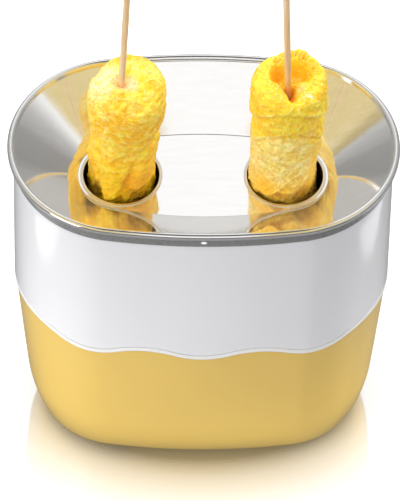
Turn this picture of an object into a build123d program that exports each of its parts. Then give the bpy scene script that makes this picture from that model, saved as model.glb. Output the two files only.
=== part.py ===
from build123d import *
import math
import os

os.makedirs("parts", exist_ok=True)

# Overall sizes, in millimetres, with the table at height zero
overall_width = 186.0
overall_depth = 114.0
rim_height = 188.0

# The plan outline is two end arcs and two long arcs, drawn along the middle of the rolled rim
bead_radius = 1.75
end_radius_share = 0.947
half_width = overall_width / 2 - bead_radius
half_depth = overall_depth / 2 - bead_radius
end_radius = half_depth * end_radius_share
end_x = half_width - end_radius
long_radius = (end_x**2 + half_depth**2 - end_radius**2) / (2 * (half_depth - end_radius))
long_half_angle = math.degrees(math.atan2(end_x, long_radius - half_depth))
end_half_angle = 90 - long_half_angle

# Clearances shared by all pieces
seat_gap = 0.1
loose_gap = 0.3
cut_overrun = 5.0

# The two cooking tubes, which set the flat of the dish
tube_pitch = 77.8
tube_inner_radius = 18.1
tube_wall = 0.9
tube_floor_thickness = 2.0
tube_floor_radius = 4.0
tube_depth = 138.0
tube_lip_width = 1.5
tube_lip_thickness = 0.5
tube_lip_round = 0.2
tube_x = tube_pitch / 2
tube_outer_radius = tube_inner_radius + tube_wall
tube_lip_radius = tube_inner_radius + tube_lip_width

# The steel dish, whose wall runs from its flat up to the middle of the rolled rim
sheet = 0.8
dish_depth = 23.1
flat_end_margin = 1.0
flat_side_margin = 5.8
flat_fillet = 0.8
curl_end_angle = 295.0
bead_z = rim_height - bead_radius
flat_z = rim_height - dish_depth
flat_under_z = flat_z - sheet
flat_end_radius = tube_lip_radius + flat_end_margin
flat_half_depth = tube_lip_radius + flat_side_margin
wall_slope = (bead_z - flat_z + sheet / 2) / (half_depth - flat_half_depth)
wall_angle = math.atan(wall_slope)
wall_drop = sheet / 2 / math.cos(wall_angle)
flat_bend_shift = sheet * math.tan(wall_angle / 2)
curl_join_angle = 180 + math.degrees(wall_angle + math.asin(sheet / 2 / bead_radius))
tube_hole_radius = tube_outer_radius + seat_gap
tube_top_z = flat_z + tube_lip_thickness
tube_bottom_z = tube_top_z - tube_depth

# The casing walls, given as insets from the rim's middle line
casing_wall = 2.6
shell_inset = 1.1
band_inset = 0.8
band_height = 6.3
band_thickness = 3.2
tongue_thickness = 1.4
tongue_drop = 4.0
shell_edge_radius = 1.1
band_top_z = bead_z - bead_radius - seat_gap
shell_top_z = band_top_z - band_height
shell_inner_inset = shell_inset + casing_wall

# The wavy seam between the white shell and the yellow shell
seam_height = 93.4
seam_wave_length = 54.0
seam_wave_rise = 2.4
seam_step = 0.6
seam_gap = 0.25
trim_height = 3.1
trim_tongue_reach = 8.0

# The lower shell tapers, curves in and turns under at the base
base_clearance = 2.0
taper_angle = 4.9
turn_angle = 20.0
side_curve_radius = 95.0
base_edge_radius = 7.0
base_ring_width = 4.0
flange_width = 8.0
plate_thickness = 2.5
base_z = base_clearance
turn_z = base_z + base_edge_radius * (1 - math.sin(math.radians(turn_angle)))
side_centre_z = turn_z + side_curve_radius * math.sin(math.radians(turn_angle))
taper_z = side_centre_z - side_curve_radius * math.sin(math.radians(taper_angle))
taper_slope = math.tan(math.radians(taper_angle))
seam_inset = shell_inset + seam_step
taper_inset = seam_inset + taper_slope * (seam_height - taper_z)
side_centre_inset = taper_inset + side_curve_radius * math.cos(math.radians(taper_angle))
turn_inset = side_centre_inset - side_curve_radius * math.cos(math.radians(turn_angle))
base_inset = turn_inset + base_edge_radius * math.cos(math.radians(turn_angle))
plate_top_z = base_z + plate_thickness
flange_top_z = plate_top_z + casing_wall
ring_inset = base_inset + base_ring_width
flange_inset = ring_inset + flange_width
plate_inset = ring_inset + loose_gap

# Tie rods hang from the dish, hold the heater deck and clamp the base plate
rod_radius = 2.0
rod_x = 13.0
rod_y = 18.0
rod_tail = 0.8
nut_flats = 7.0
deck_nut_height = 3.2
base_nut_height = 2.2
nut_recess_radius = 5.0
nut_recess_depth = 1.0
rod_places = [(x, y) for x in (-rod_x, rod_x) for y in (-rod_y, rod_y)]

# The heater deck and what hangs from it
deck_thickness = 1.2
deck_drop = 17.0
deck_margin = 1.2
deck_top_z = flat_under_z - deck_drop
deck_under_z = deck_top_z - deck_thickness


def section(points):
    """Close a wall profile given as inset and height."""
    return make_face(Polyline(*[(-inset, height) for inset, height in points], close=True))


def turned(profile, radius, start_angle, arc_angle, centre):
    """Turn one wall profile through one arc of the plan outline."""
    upright = Pos(radius, 0, 0) * (Plane.XZ * profile)
    return Pos(*centre) * revolve(Rot(0, 0, start_angle) * upright, Axis.Z, arc_angle)


def ring(profile):
    """Run a wall profile round the whole plan outline."""
    end = turned(profile, end_radius, -end_half_angle, 2 * end_half_angle, (end_x, 0))
    long_start = 90 - long_half_angle
    side = turned(profile, long_radius, long_start, 2 * long_half_angle, (0, half_depth - long_radius))
    return end + side + Rot(0, 0, 180) * end + Rot(0, 0, 180) * side


def oval_face(centre_x, radius, depth):
    """Draw an oval of two end arcs and two long arcs that meet smoothly."""
    long = (centre_x**2 + depth**2 - radius**2) / (2 * (depth - radius))
    half = math.degrees(math.atan2(centre_x, long - depth))
    end = CenterArc((centre_x, 0), radius, half - 90, 180 - 2 * half)
    side = CenterArc((0, depth - long), long, 90 - half, 2 * half)
    return make_face([end, side, Rot(0, 0, 180) * end, Rot(0, 0, 180) * side])


def plan_face(inset):
    """Draw the plan outline, moved inwards by an inset."""
    return oval_face(end_x, end_radius - inset, half_depth - inset)


def plan_block(inset, low, high):
    """Make a plate of the plan outline between two heights."""
    return extrude(Pos(0, 0, low) * plan_face(inset), high - low)


def disc(radius, low, high, x=0, y=0):
    """Make an upright round bar between two heights."""
    return Pos(x, y, low) * extrude(Circle(radius), high - low)


def tube_solid(outer, inner, low, high, x=0, y=0):
    """Make an upright round sleeve between two heights."""
    return Pos(x, y, low) * extrude(Circle(outer) - Circle(inner), high - low)


def box_between(low, high):
    """Make a box from its two corners."""
    size = [b - a for a, b in zip(low, high)]
    middle = [(a + b) / 2 for a, b in zip(low, high)]
    return Pos(*middle) * Box(*size)


def save(name, shape):
    """Write one piece and print its solids and volume."""
    export_step(shape, f"parts/{name}.step")
    print(name, len(shape.solids()), round(shape.volume, 1))


def seam_height_block(shift):
    """Fill everything below the wavy seam, moved up by a shift."""
    half_wave = seam_wave_length / 2
    count = math.ceil(half_width / half_wave) + 1
    level = seam_height + shift
    arcs = []
    for number in range(-count, count + 1):
        side = -1 if number % 2 == 0 else 1
        middle = number * half_wave
        start = (middle - half_wave / 2, level)
        crest = (middle, level + side * seam_wave_rise)
        arcs.append(ThreePointArc(start, crest, (middle + half_wave / 2, level)))
    reach = (count + 1 / 2) * half_wave
    arcs.append(Polyline((reach, level), (reach, -cut_overrun), (-reach, -cut_overrun), (-reach, level)))
    return extrude(Plane.XZ * make_face(arcs), overall_depth, both=True)


def dish_side(side, low_z, outset):
    """Fill the space inside one face of the dish, from its flat up past the rim's middle."""
    low = Pos(0, 0, low_z) * oval_face(tube_x, flat_end_radius + outset, flat_half_depth + outset)
    high = Pos(0, 0, bead_z + side * wall_drop) * plan_face(0)
    block = loft([low, high], ruled=True)
    bend = flat_fillet if side > 0 else flat_fillet + sheet
    return fillet(block.edges().group_by(Axis.Z)[0], bend)


def dish_under_z(inset):
    """Give the height of the wall's under face at an inset, in the middle of the front."""
    return bead_z - wall_drop - wall_slope * inset


def steel_dish():
    """Press the dish from sheet, with its flat, sloping wall and rolled rim."""
    wall = dish_side(-1, flat_under_z, flat_bend_shift) - dish_side(1, flat_z, 0)
    wall &= plan_block(bead_radius - sheet, flat_under_z, rim_height)
    reach = bead_radius * 2
    corners = [(0, 0)]
    for angle in (curl_join_angle, curl_end_angle):
        corners.append((reach * math.cos(math.radians(angle)), reach * math.sin(math.radians(angle))))
    curl = Circle(bead_radius) - Circle(bead_radius - sheet) - make_face(Polyline(*corners, close=True))
    body = wall + ring(Pos(0, bead_z) * curl)
    for x in (-tube_x, tube_x):
        body -= disc(tube_hole_radius, flat_under_z - cut_overrun, flat_z + cut_overrun, x)
    return body


# The lamp window in the front of the rim band
lens_width = 3.2
lens_height = 2.2
lens_stand_out = 0.3
lamp_radius = 1.5
lamp_length = 4.2
lamp_cup_wall = 1.2
lamp_dish_gap = 0.4
lens_z = band_top_z - band_height / 2
tongue_inset = shell_inner_inset + loose_gap
tongue_end_inset = tongue_inset + tongue_thickness
lamp_inset = tongue_end_inset + lamp_cup_wall + lamp_radius
lamp_y = lamp_inset - half_depth
lamp_top_z = dish_under_z(lamp_inset + lamp_radius) - lamp_dish_gap
lamp_base_z = lamp_top_z - lamp_length
lamp_cup_radius = lamp_radius + seat_gap + lamp_cup_wall
lamp_cup_top_z = dish_under_z(lamp_inset + lamp_cup_radius) - seat_gap


def rim_band():
    """Turn the grey band that stands on the white shell and carries the rim."""
    shoulder_inset = (dish_under_z(0) - seat_gap - band_top_z) / wall_slope
    tongue_low_z = shell_top_z - tongue_drop
    band = ring(section([
        (band_inset, shell_top_z),
        (band_inset, band_top_z),
        (shoulder_inset, band_top_z),
        (tongue_end_inset, dish_under_z(tongue_end_inset) - seat_gap),
        (tongue_end_inset, tongue_low_z),
        (tongue_inset, tongue_low_z),
        (tongue_inset, shell_top_z),
    ]))
    tongue_middle_y = tongue_end_inset - tongue_thickness / 2 - half_depth
    band += box_between(
        (-lamp_cup_radius, tongue_inset - half_depth, min(lamp_base_z, tongue_low_z)),
        (lamp_cup_radius, tongue_middle_y, shell_top_z),
    )
    band += box_between(
        (-lamp_cup_radius, tongue_middle_y, lamp_base_z),
        (lamp_cup_radius, lamp_y, lamp_cup_top_z),
    )
    band += disc(lamp_cup_radius, lamp_base_z, lamp_cup_top_z, 0, lamp_y)
    band -= disc(lamp_radius + seat_gap, lamp_base_z - cut_overrun, lamp_cup_top_z + cut_overrun, 0, lamp_y)
    hole_half = (lens_width / 2 + seat_gap, lens_height / 2 + seat_gap)
    band -= box_between(
        (-hole_half[0], band_inset - half_depth - cut_overrun, lens_z - hole_half[1]),
        (hole_half[0], lamp_y - lamp_radius, lens_z + hole_half[1]),
    )
    return band


def indicator_lens():
    """Make the small clear window that fills the hole in the band."""
    front = band_inset - half_depth - lens_stand_out
    back = band_inset + band_thickness - half_depth
    lens = box_between(
        (-lens_width / 2, front, lens_z - lens_height / 2),
        (lens_width / 2, back, lens_z + lens_height / 2),
    )
    return fillet(lens.edges().filter_by(Axis.Y), lens_height / 3)


def indicator_lamp():
    """Make the small round-topped lamp behind the window."""
    lamp = disc(lamp_radius, lamp_base_z, lamp_top_z, 0, lamp_y)
    return fillet(lamp.edges().group_by(Axis.Z)[-1], lamp_radius / 2)


def upper_shell():
    """Make the white wall, cut to the wavy seam below."""
    low = seam_height - seam_wave_rise
    wall = section([
        (shell_inset, low),
        (shell_inset, shell_top_z),
        (shell_inner_inset, shell_top_z),
        (shell_inner_inset, low),
    ])
    outer_top = wall.vertices().group_by(Axis.Y)[-1].sort_by(Axis.X)[-1]
    wall = fillet(outer_top, shell_edge_radius)
    return ring(wall) - seam_height_block(2 * seam_gap + trim_height)


def seam_trim():
    """Make the light lip along the seam, with a tongue inside both shells."""
    tongue_face_inset = seam_inset + casing_wall + taper_slope * trim_tongue_reach + 2 * loose_gap
    inner_inset = tongue_face_inset + tongue_thickness
    low = seam_height - 2 * seam_wave_rise
    high = seam_height + trim_height + 2 * seam_wave_rise
    lip = ring(section([(shell_inset, low), (shell_inset, high), (inner_inset, high), (inner_inset, low)]))
    lip = (lip & seam_height_block(seam_gap + trim_height)) - seam_height_block(seam_gap)
    tongue_low = seam_height - trim_tongue_reach
    tongue_high = seam_height + trim_height + trim_tongue_reach
    tongue = ring(section([
        (tongue_face_inset, tongue_low),
        (tongue_face_inset, tongue_high),
        (inner_inset, tongue_high),
        (inner_inset, tongue_low),
    ]))
    return lip + tongue


# The bush that the mains lead comes in through, low in the back wall
bush_bore_radius = 3.3
bush_radius = 5.0
bush_flange_radius = 7.0
bush_flange_thickness = 1.6
bush_height = 22.0
boss_radius = 8.6
boss_stand_out = 0.8


def side_inset(height, depth_in):
    """Give the inset of the lower shell's curved side at a height, measured into the wall."""
    radius = side_curve_radius - depth_in
    return side_centre_inset - math.sqrt(radius**2 - (side_centre_z - height) ** 2)


boss_face_y = half_depth - side_inset(bush_height + boss_radius, 0) + boss_stand_out
boss_back_y = half_depth - side_inset(bush_height, casing_wall) - casing_wall


def lower_shell_profile():
    """Draw the yellow wall: taper, long curve, turned-under edge and inner flange."""
    top = seam_height + 2 * seam_wave_rise
    shift = casing_wall / math.cos(math.radians(taper_angle))
    centre = (-side_centre_inset, side_centre_z)
    sweep = turn_angle - taper_angle
    outer_curve = CenterArc(centre, side_curve_radius, -turn_angle, sweep)
    inner_curve = CenterArc(centre, side_curve_radius - casing_wall, -turn_angle, sweep)
    edge_centre = (-base_inset, base_z + base_edge_radius)
    edge = CenterArc(edge_centre, base_edge_radius, -90, 90 - turn_angle)
    outer_top = (-(taper_inset - taper_slope * (top - taper_z)), top)
    inner_top = (outer_top[0] - shift, top)
    return make_face([
        Line(outer_curve @ 1, outer_top),
        Line(outer_top, inner_top),
        Line(inner_top, inner_curve @ 1),
        inner_curve,
        Polyline(
            inner_curve @ 0,
            (-base_inset, flange_top_z),
            (-flange_inset, flange_top_z),
            (-flange_inset, plate_top_z),
            (-ring_inset, plate_top_z),
            (-ring_inset, base_z),
            (-base_inset, base_z),
        ),
        edge,
        outer_curve,
    ])


def lower_shell():
    """Make the yellow shell, cut to the wavy seam, with the boss for the lead bush."""
    body = ring(lower_shell_profile()) & seam_height_block(0)
    boss = Plane.XZ.offset(-boss_face_y) * (Pos(0, bush_height) * Circle(boss_radius))
    body += extrude(boss, boss_face_y - boss_back_y)
    hole_start = Plane.XZ.offset(-boss_face_y - cut_overrun) * Pos(0, bush_height)
    hole = hole_start * Circle(bush_radius + seat_gap)
    return body - extrude(hole, boss_face_y - boss_back_y + 2 * cut_overrun)


def cord_bush():
    """Make the flanged bush, held by an outer and an inner lip."""
    front = boss_face_y + bush_flange_thickness
    back = boss_back_y - bush_flange_thickness
    start = Plane.XZ.offset(-front) * Pos(0, bush_height)
    sleeve = extrude(start * Circle(bush_radius), front - back)
    outer = extrude(start * Circle(bush_flange_radius), bush_flange_thickness)
    inner_start = Plane.XZ.offset(-boss_back_y) * Pos(0, bush_height)
    inner = extrude(inner_start * Circle(bush_flange_radius), bush_flange_thickness)
    bush = sleeve + outer + inner
    bush = fillet(bush.edges().group_by(Axis.Y)[-1].sort_by(SortBy.RADIUS)[-1:], bush_flange_thickness / 2)
    return bush - extrude(start * Circle(bush_bore_radius), front - back)


# Feet, vents and openings of the base plate
foot_radius = 6.0
foot_height = 3.2
foot_angle = 60.0
foot_edge = 1.2
vent_width = 3.0
vent_length = 22.0
vent_pitch = 7.0
vent_rows = 4
foot_orbit = end_radius - plate_inset - foot_radius - foot_edge
foot_x = end_x + foot_orbit * math.cos(math.radians(foot_angle))
foot_y = foot_orbit * math.sin(math.radians(foot_angle))
foot_places = {
    "foot_front_left": (-foot_x, -foot_y),
    "foot_front_right": (foot_x, -foot_y),
    "foot_back_left": (-foot_x, foot_y),
    "foot_back_right": (foot_x, foot_y),
}


def base_plate():
    """Make the flat bottom cover with vents, foot recesses and nut recesses."""
    plate = plan_block(plate_inset, base_z, plate_top_z)
    for x, y in foot_places.values():
        plate -= disc(foot_radius + seat_gap, base_z - cut_overrun, foot_height, x, y)
    for x, y in rod_places:
        plate -= disc(rod_radius + seat_gap, base_z - cut_overrun, plate_top_z + cut_overrun, x, y)
        plate -= disc(nut_recess_radius, base_z - cut_overrun, base_z + nut_recess_depth, x, y)
    first = -(vent_rows - 1) / 2 * vent_pitch
    for side in (-1, 1):
        for row in range(vent_rows):
            place = Pos(side * end_x, first + row * vent_pitch, base_z - cut_overrun)
            vent = extrude(SlotOverall(vent_length, vent_width), plate_thickness + 2 * cut_overrun)
            plate -= place * vent
    return plate


def foot(x, y):
    """Make one rubber foot that sits in its recess."""
    pad = disc(foot_radius, 0, foot_height, x, y)
    return chamfer(pad.edges().group_by(Axis.Z)[0], foot_radius / 8)


def tie_rods():
    """Make the four rods from the dish down through the base plate."""
    low = base_z - rod_tail
    return Compound([disc(rod_radius, low, flat_under_z, x, y) for x, y in rod_places])


def nut(low, height, x, y):
    """Make one hexagon nut that clears its rod."""
    shape = RegularPolygon(nut_flats / 2, 6, major_radius=False) - Circle(rod_radius + seat_gap)
    return Pos(x, y, low) * extrude(shape, height)


def base_nuts():
    """Make the thin nuts sunk in the underside of the base plate."""
    low = base_z + nut_recess_depth - base_nut_height
    return Compound([nut(low, base_nut_height, x, y) for x, y in rod_places])


def deck_nuts():
    """Make the nuts above and below the heater deck on each rod."""
    lows = (deck_under_z - deck_nut_height, deck_top_z)
    return Compound([nut(low, deck_nut_height, x, y) for low in lows for x, y in rod_places])


def cooking_tube(x):
    """Draw the deep cup with its round floor and its lip over the dish."""
    floor_top = tube_bottom_z + tube_floor_thickness
    inner = tube_inner_radius
    outer = tube_outer_radius
    wall = make_face(Polyline(
        (0, tube_bottom_z),
        (outer, tube_bottom_z),
        (outer, flat_z),
        (tube_lip_radius, flat_z),
        (tube_lip_radius, tube_top_z),
        (inner, tube_top_z),
        (inner, floor_top),
        (0, floor_top),
        close=True,
    ))
    wall = fillet(wall.vertices().group_by(Axis.Y)[-1], tube_lip_round)
    for level in (floor_top, tube_bottom_z):
        at_level = wall.vertices().filter_by_position(Axis.Y, level - seat_gap, level + seat_gap)
        wall = fillet(at_level.sort_by(Axis.X)[-1], tube_floor_radius)
    return Pos(x, 0, 0) * revolve(Plane.XZ * wall, Axis.Z)


# Seal and ring nut that clamp each tube to the dish from below
gasket_width = 1.6
gasket_thickness = 1.5
ring_nut_width = 4.2
ring_nut_height = 5.0
ring_nut_notches = 8
ring_nut_notch = 2.4
gasket_low_z = flat_under_z - gasket_thickness


def tube_gasket(x):
    """Make the soft sealing ring under the dish."""
    return tube_solid(tube_outer_radius + gasket_width, tube_hole_radius, gasket_low_z, flat_under_z, x)


def tube_ring_nut(x):
    """Make the notched ring nut that holds one tube."""
    low = gasket_low_z - ring_nut_height
    outer = tube_outer_radius + ring_nut_width
    body = tube_solid(outer, tube_hole_radius, low, gasket_low_z, x)
    for number in range(ring_nut_notches):
        angle = 360 / ring_nut_notches * number
        notch = Pos(outer, 0, 0) * Box(ring_nut_notch, ring_nut_notch, 2 * ring_nut_height)
        body -= Pos(x, 0, low) * (Rot(0, 0, angle) * notch)
    return body


# The band heater round each tube, with a split and two ears
heater_thickness = 3.0
heater_low = 62.0
heater_height = 62.0
heater_split = 4.0
ear_length = 7.0
ear_thickness = 1.6
ear_height = 12.0
clamp_screw_radius = 1.5
clamp_head_radius = 2.8
clamp_head_height = 1.8
clamp_tail = 1.5
heater_inner = tube_outer_radius + seat_gap
heater_outer = heater_inner + heater_thickness
ear_middle_x = tube_x - heater_outer - ear_length / 2
clamp_heights = [heater_low + ear_height / 2, heater_low + heater_height - ear_height / 2]


def heater_band(side):
    """Make one split heater, with its ears facing the middle of the maker."""
    x = side * tube_x
    high = heater_low + heater_height
    band = tube_solid(heater_outer, heater_inner, heater_low, high, x)
    inner_end = side * (tube_x - heater_inner - tube_wall)
    outer_end = side * (tube_x - heater_outer - ear_length)
    slot_half = heater_split / 2
    slot = box_between(
        (min(inner_end, outer_end), -slot_half, heater_low - cut_overrun),
        (max(inner_end, outer_end), slot_half, high + cut_overrun),
    )
    root = side * (tube_x - heater_inner - heater_thickness / 2)
    for middle in clamp_heights:
        for lean in (-1, 1):
            near = lean * slot_half
            far = lean * (slot_half + ear_thickness)
            ear = box_between(
                (min(root, outer_end), min(near, far), middle - ear_height / 2),
                (max(root, outer_end), max(near, far), middle + ear_height / 2),
            )
            band += ear
    band -= slot
    for middle in clamp_heights:
        reach = slot_half + ear_thickness + cut_overrun
        hole = disc(clamp_screw_radius + seat_gap, -reach, reach)
        band -= Pos(side * ear_middle_x, 0, middle) * (Rot(90, 0, 0) * hole)
    return band


def clamp_screws():
    """Make the screws that pull each heater's ears together."""
    reach = heater_split / 2 + ear_thickness
    screw = disc(clamp_screw_radius, 0, 2 * reach + clamp_tail)
    screw += disc(clamp_head_radius, -clamp_head_height, 0)
    screws = []
    for side in (-1, 1):
        for middle in clamp_heights:
            screws.append(Pos(side * ear_middle_x, -reach, middle) * (Rot(-90, 0, 0) * screw))
    return Compound(screws)


# The bright sleeve round both tubes keeps the heat off the casing
shield_thickness = 0.6
shield_space = 4.4
shield_low = 31.0
shield_lip = 5.0
rivet_radius = 1.2
rivet_head_radius = 2.2
rivet_head_height = 0.8
shield_inner = heater_outer + shield_space
shield_outer = shield_inner + shield_thickness
rivet_x = tube_x * 2 / 3
rivet_y = shield_inner - shield_lip / 2
rivet_places = [(x, y) for x in (-rivet_x, rivet_x) for y in (-rivet_y, rivet_y)]


def long_slot(radius):
    """Draw a round-ended slot about both tubes."""
    return SlotOverall(2 * (tube_x + radius), 2 * radius)


def heater_deck():
    """Make the steel deck that spans both tubes and hangs on the rods."""
    deck = Pos(0, 0, deck_under_z) * extrude(long_slot(shield_outer + deck_margin), deck_thickness)
    low = deck_under_z - cut_overrun
    high = deck_top_z + cut_overrun
    for x in (-tube_x, tube_x):
        deck -= disc(tube_outer_radius + loose_gap, low, high, x)
    for x, y in rod_places:
        deck -= disc(rod_radius + seat_gap, low, high, x, y)
    for x, y in rivet_places:
        deck -= disc(rivet_radius + seat_gap, low, high, x, y)
    return deck


def heat_shield():
    """Make the long round-ended sleeve with its inner lip under the deck."""
    sleeve = long_slot(shield_outer) - long_slot(shield_inner)
    body = Pos(0, 0, shield_low) * extrude(sleeve, deck_under_z - shield_low)
    lip = long_slot(shield_outer) - long_slot(shield_inner - shield_lip)
    body += Pos(0, 0, deck_under_z - shield_thickness) * extrude(lip, shield_thickness)
    for x, y in rivet_places:
        body -= disc(rivet_radius + seat_gap, deck_under_z - cut_overrun, deck_under_z + cut_overrun, x, y)
    return body


def shield_rivets():
    """Make the rivets that hold the shield's lip to the deck."""
    low = deck_under_z - shield_thickness - rivet_head_height
    rivets = []
    for x, y in rivet_places:
        rivet = disc(rivet_radius, low, deck_top_z + rivet_head_height, x, y)
        rivet += disc(rivet_head_radius, low, low + rivet_head_height, x, y)
        rivet += disc(rivet_head_radius, deck_top_z, deck_top_z + rivet_head_height, x, y)
        rivets.append(rivet)
    return Compound(rivets)


# The thermostat and the thermal fuse hang under the deck between the tubes
thermostat_radius = 6.8
thermostat_cap_radius = 8.0
thermostat_height = 7.0
thermostat_cap_height = 2.0
blade_width = 4.0
blade_thickness = 0.8
blade_length = 6.0
blade_spread = 5.0
fuse_radius = 2.0
fuse_length = 12.0
fuse_tail_radius = 0.6
fuse_tail_length = 3.0
fuse_y = 12.5
clip_thickness = 0.8
clip_width = 5.0
fuse_z = deck_under_z - fuse_radius - seat_gap


def thermostat():
    """Make the round switch with its wider cap and two blades."""
    low = deck_under_z - thermostat_height
    body = disc(thermostat_cap_radius, deck_under_z - thermostat_cap_height, deck_under_z)
    body += disc(thermostat_radius, low, deck_under_z - thermostat_cap_height)
    for lean in (-1, 1):
        body += box_between(
            (lean * blade_spread - blade_thickness / 2, -blade_width / 2, low - blade_length),
            (lean * blade_spread + blade_thickness / 2, blade_width / 2, low),
        )
    return body


def thermal_fuse():
    """Make the small fuse barrel with a wire tail at each end."""
    barrel = Cylinder(fuse_radius, fuse_length)
    tail = Cylinder(fuse_tail_radius, fuse_length + 2 * fuse_tail_length)
    return Pos(0, fuse_y, fuse_z) * (Rot(0, 90, 0) * (barrel + tail))


def fuse_clip():
    """Make the saddle that holds the fuse against the deck."""
    inner = fuse_radius + seat_gap
    outer = inner + clip_thickness
    arch = Circle(outer) + Pos(0, outer / 2) * Rectangle(2 * outer, outer)
    arch -= Circle(inner) + Pos(0, outer / 2) * Rectangle(2 * inner, outer + clip_thickness)
    top = deck_under_z - fuse_z
    arch &= Pos(0, top - outer) * Rectangle(4 * outer, 2 * outer)
    foot_strip = Pos(outer + outer / 2 - clip_thickness / 2, top - clip_thickness / 2)
    arch += foot_strip * Rectangle(outer, clip_thickness)
    return Pos(0, fuse_y, fuse_z) * extrude(Plane.YZ * arch, clip_width / 2, both=True)


# The terminal block stands on the base plate
block_length = 22.0
block_width = 11.0
block_height = 12.0
block_ways = 3
way_radius = 2.6
way_depth = 4.0
terminal_screw_gap = 0.5
entry_radius = 1.3
entry_depth = 3.0
entry_z = plate_top_z + block_height / 3
way_pitch = block_length / block_ways
way_places = [(number - (block_ways - 1) / 2) * way_pitch for number in range(block_ways)]


def terminal_block():
    """Make the insulating block with a screw well and a wire entry for each way."""
    block = box_between(
        (-block_length / 2, -block_width / 2, plate_top_z),
        (block_length / 2, block_width / 2, plate_top_z + block_height),
    )
    block = fillet(block.edges().filter_by(Axis.Z), entry_radius)
    top = plate_top_z + block_height
    for x in way_places:
        block -= disc(way_radius, top - way_depth, top + cut_overrun, x)
        entry = Pos(x, 0, entry_z) * (Rot(90, 0, 0) * Cylinder(entry_radius, block_width + cut_overrun))
        core = Pos(x, 0, entry_z) * Box(3 * entry_radius, block_width - 2 * entry_depth, 3 * entry_radius)
        block -= entry - core
    return block


def terminal_screws():
    """Make the slotted screws sunk in the block's wells."""
    low = plate_top_z + block_height - way_depth
    height = way_depth - terminal_screw_gap
    slot_width = way_radius / 3
    screws = []
    for x in way_places:
        screw = disc(way_radius - seat_gap, low, low + height, x)
        slot = Pos(x, 0, low + height) * Box(3 * way_radius, slot_width, 2 * slot_width)
        screws.append(screw - slot)
    return Compound(screws)


# Inner wires run from the block to the heaters, the fuse, the thermostat and the lamp
wire_radius = 1.0
wire_bend = 5.0
wire_low_z = 14.0
wire_side_gap = 4.0
heater_wire_angle = 60.0
block_front_y = block_width / 2 - entry_depth


def wire(points, bend):
    """Run one wire through its points with round bends."""
    path = FilletPolyline(*points, radius=bend)
    start = Plane(origin=path @ 0, z_dir=path % 0)
    return sweep(start * Circle(wire_radius), path)


def heater_wire(side):
    """Run a wire from the block up to a heater's outer face, beside its tube."""
    start_x = side * way_pitch
    orbit = heater_outer + wire_radius + seat_gap
    angle = math.radians(heater_wire_angle)
    rise_x = side * (tube_x - orbit * math.cos(angle))
    rise_y = -orbit * math.sin(angle)
    points = [
        (start_x, -block_front_y, entry_z),
        (start_x, -block_width, entry_z),
        (rise_x, rise_y, wire_low_z),
        (rise_x, rise_y, heater_low + heater_height / 4),
    ]
    return wire(points, wire_bend)


def fuse_wire():
    """Run a wire from the block up to one tail of the fuse."""
    end_x = fuse_length / 2 + fuse_tail_length + wire_radius
    points = [
        (way_pitch, block_front_y, entry_z),
        (way_pitch, block_width, entry_z),
        (end_x, fuse_y, wire_low_z + wire_bend),
        (end_x, fuse_y, fuse_z + fuse_tail_radius),
    ]
    return wire(points, wire_bend / 2)


def thermostat_wire():
    """Run a wire from the block up to one blade of the thermostat."""
    blade_x = -blade_spread
    low = deck_under_z - thermostat_height - blade_length
    points = [
        (-way_pitch, block_front_y, entry_z),
        (-way_pitch, block_width, entry_z),
        (blade_x, blade_width, wire_low_z + 2 * wire_bend),
        (blade_x, 0, low - 2 * wire_bend),
        (blade_x, 0, low),
    ]
    return wire(points, wire_bend / 2)


def lamp_wire():
    """Run a wire from the block forward and up between shield and casing to the lamp."""
    rise_y = -shield_outer - wire_side_gap
    points = [
        (0, -block_front_y, entry_z),
        (0, -block_width - wire_bend, entry_z),
        (0, rise_y, wire_low_z + wire_bend),
        (0, rise_y, deck_under_z - 2 * wire_bend),
        (0, lamp_y, deck_top_z + wire_bend),
        (0, lamp_y, lamp_base_z),
    ]
    return wire(points, wire_bend)


# The cooked rolls and their skewers, each of which lifts straight out of its tube
roll_bottom_z = 94.0
roll_tube_gap = 0.5
skewer_radius = 1.6
skewer_length = 200.0
skewer_point = 9.0
skewer_tip_z = 128.0
skewer_lean = 2.1
roll_radius = tube_inner_radius - roll_tube_gap
left_roll_height = 139.0
right_roll_height = 142.0
left_roll_shares = [
    (0.0, 0.50, 0.0), (0.006, 0.66, 0.0), (0.016, 0.80, 0.0), (0.032, 0.90, 0.0), (0.056, 0.955, 0.0),
    (0.09, 0.98, 0.0), (0.15, 0.985, 0.0), (0.24, 0.98, 0.0), (0.34, 0.96, 0.0), (0.44, 0.92, 0.0),
    (0.53, 0.885, 0.0), (0.62, 0.92, 0.02), (0.72, 0.97, 0.07), (0.81, 0.995, 0.10), (0.88, 1.0, 0.115),
    (0.93, 0.985, 0.12), (0.962, 0.94, 0.12), (0.982, 0.86, 0.12), (0.993, 0.74, 0.12), (1.0, 0.58, 0.12),
]
right_roll_shares = [
    (0.0, 0.50, 0.0), (0.006, 0.66, 0.0), (0.016, 0.80, 0.0), (0.032, 0.90, 0.0), (0.056, 0.955, 0.0),
    (0.09, 0.98, 0.0), (0.15, 0.985, 0.0), (0.24, 0.975, -0.005), (0.34, 0.955, -0.02), (0.44, 0.92, -0.05),
    (0.53, 0.89, -0.08), (0.62, 0.92, -0.06), (0.72, 0.945, -0.045), (0.81, 0.955, -0.035),
    (0.88, 0.965, -0.03), (0.93, 0.97, -0.03), (0.962, 0.95, -0.03), (0.982, 0.91, -0.03),
    (0.993, 0.85, -0.03), (1.0, 0.76, -0.03),
]
crater_radius_share = 0.55
crater_depth = 11.0


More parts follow.
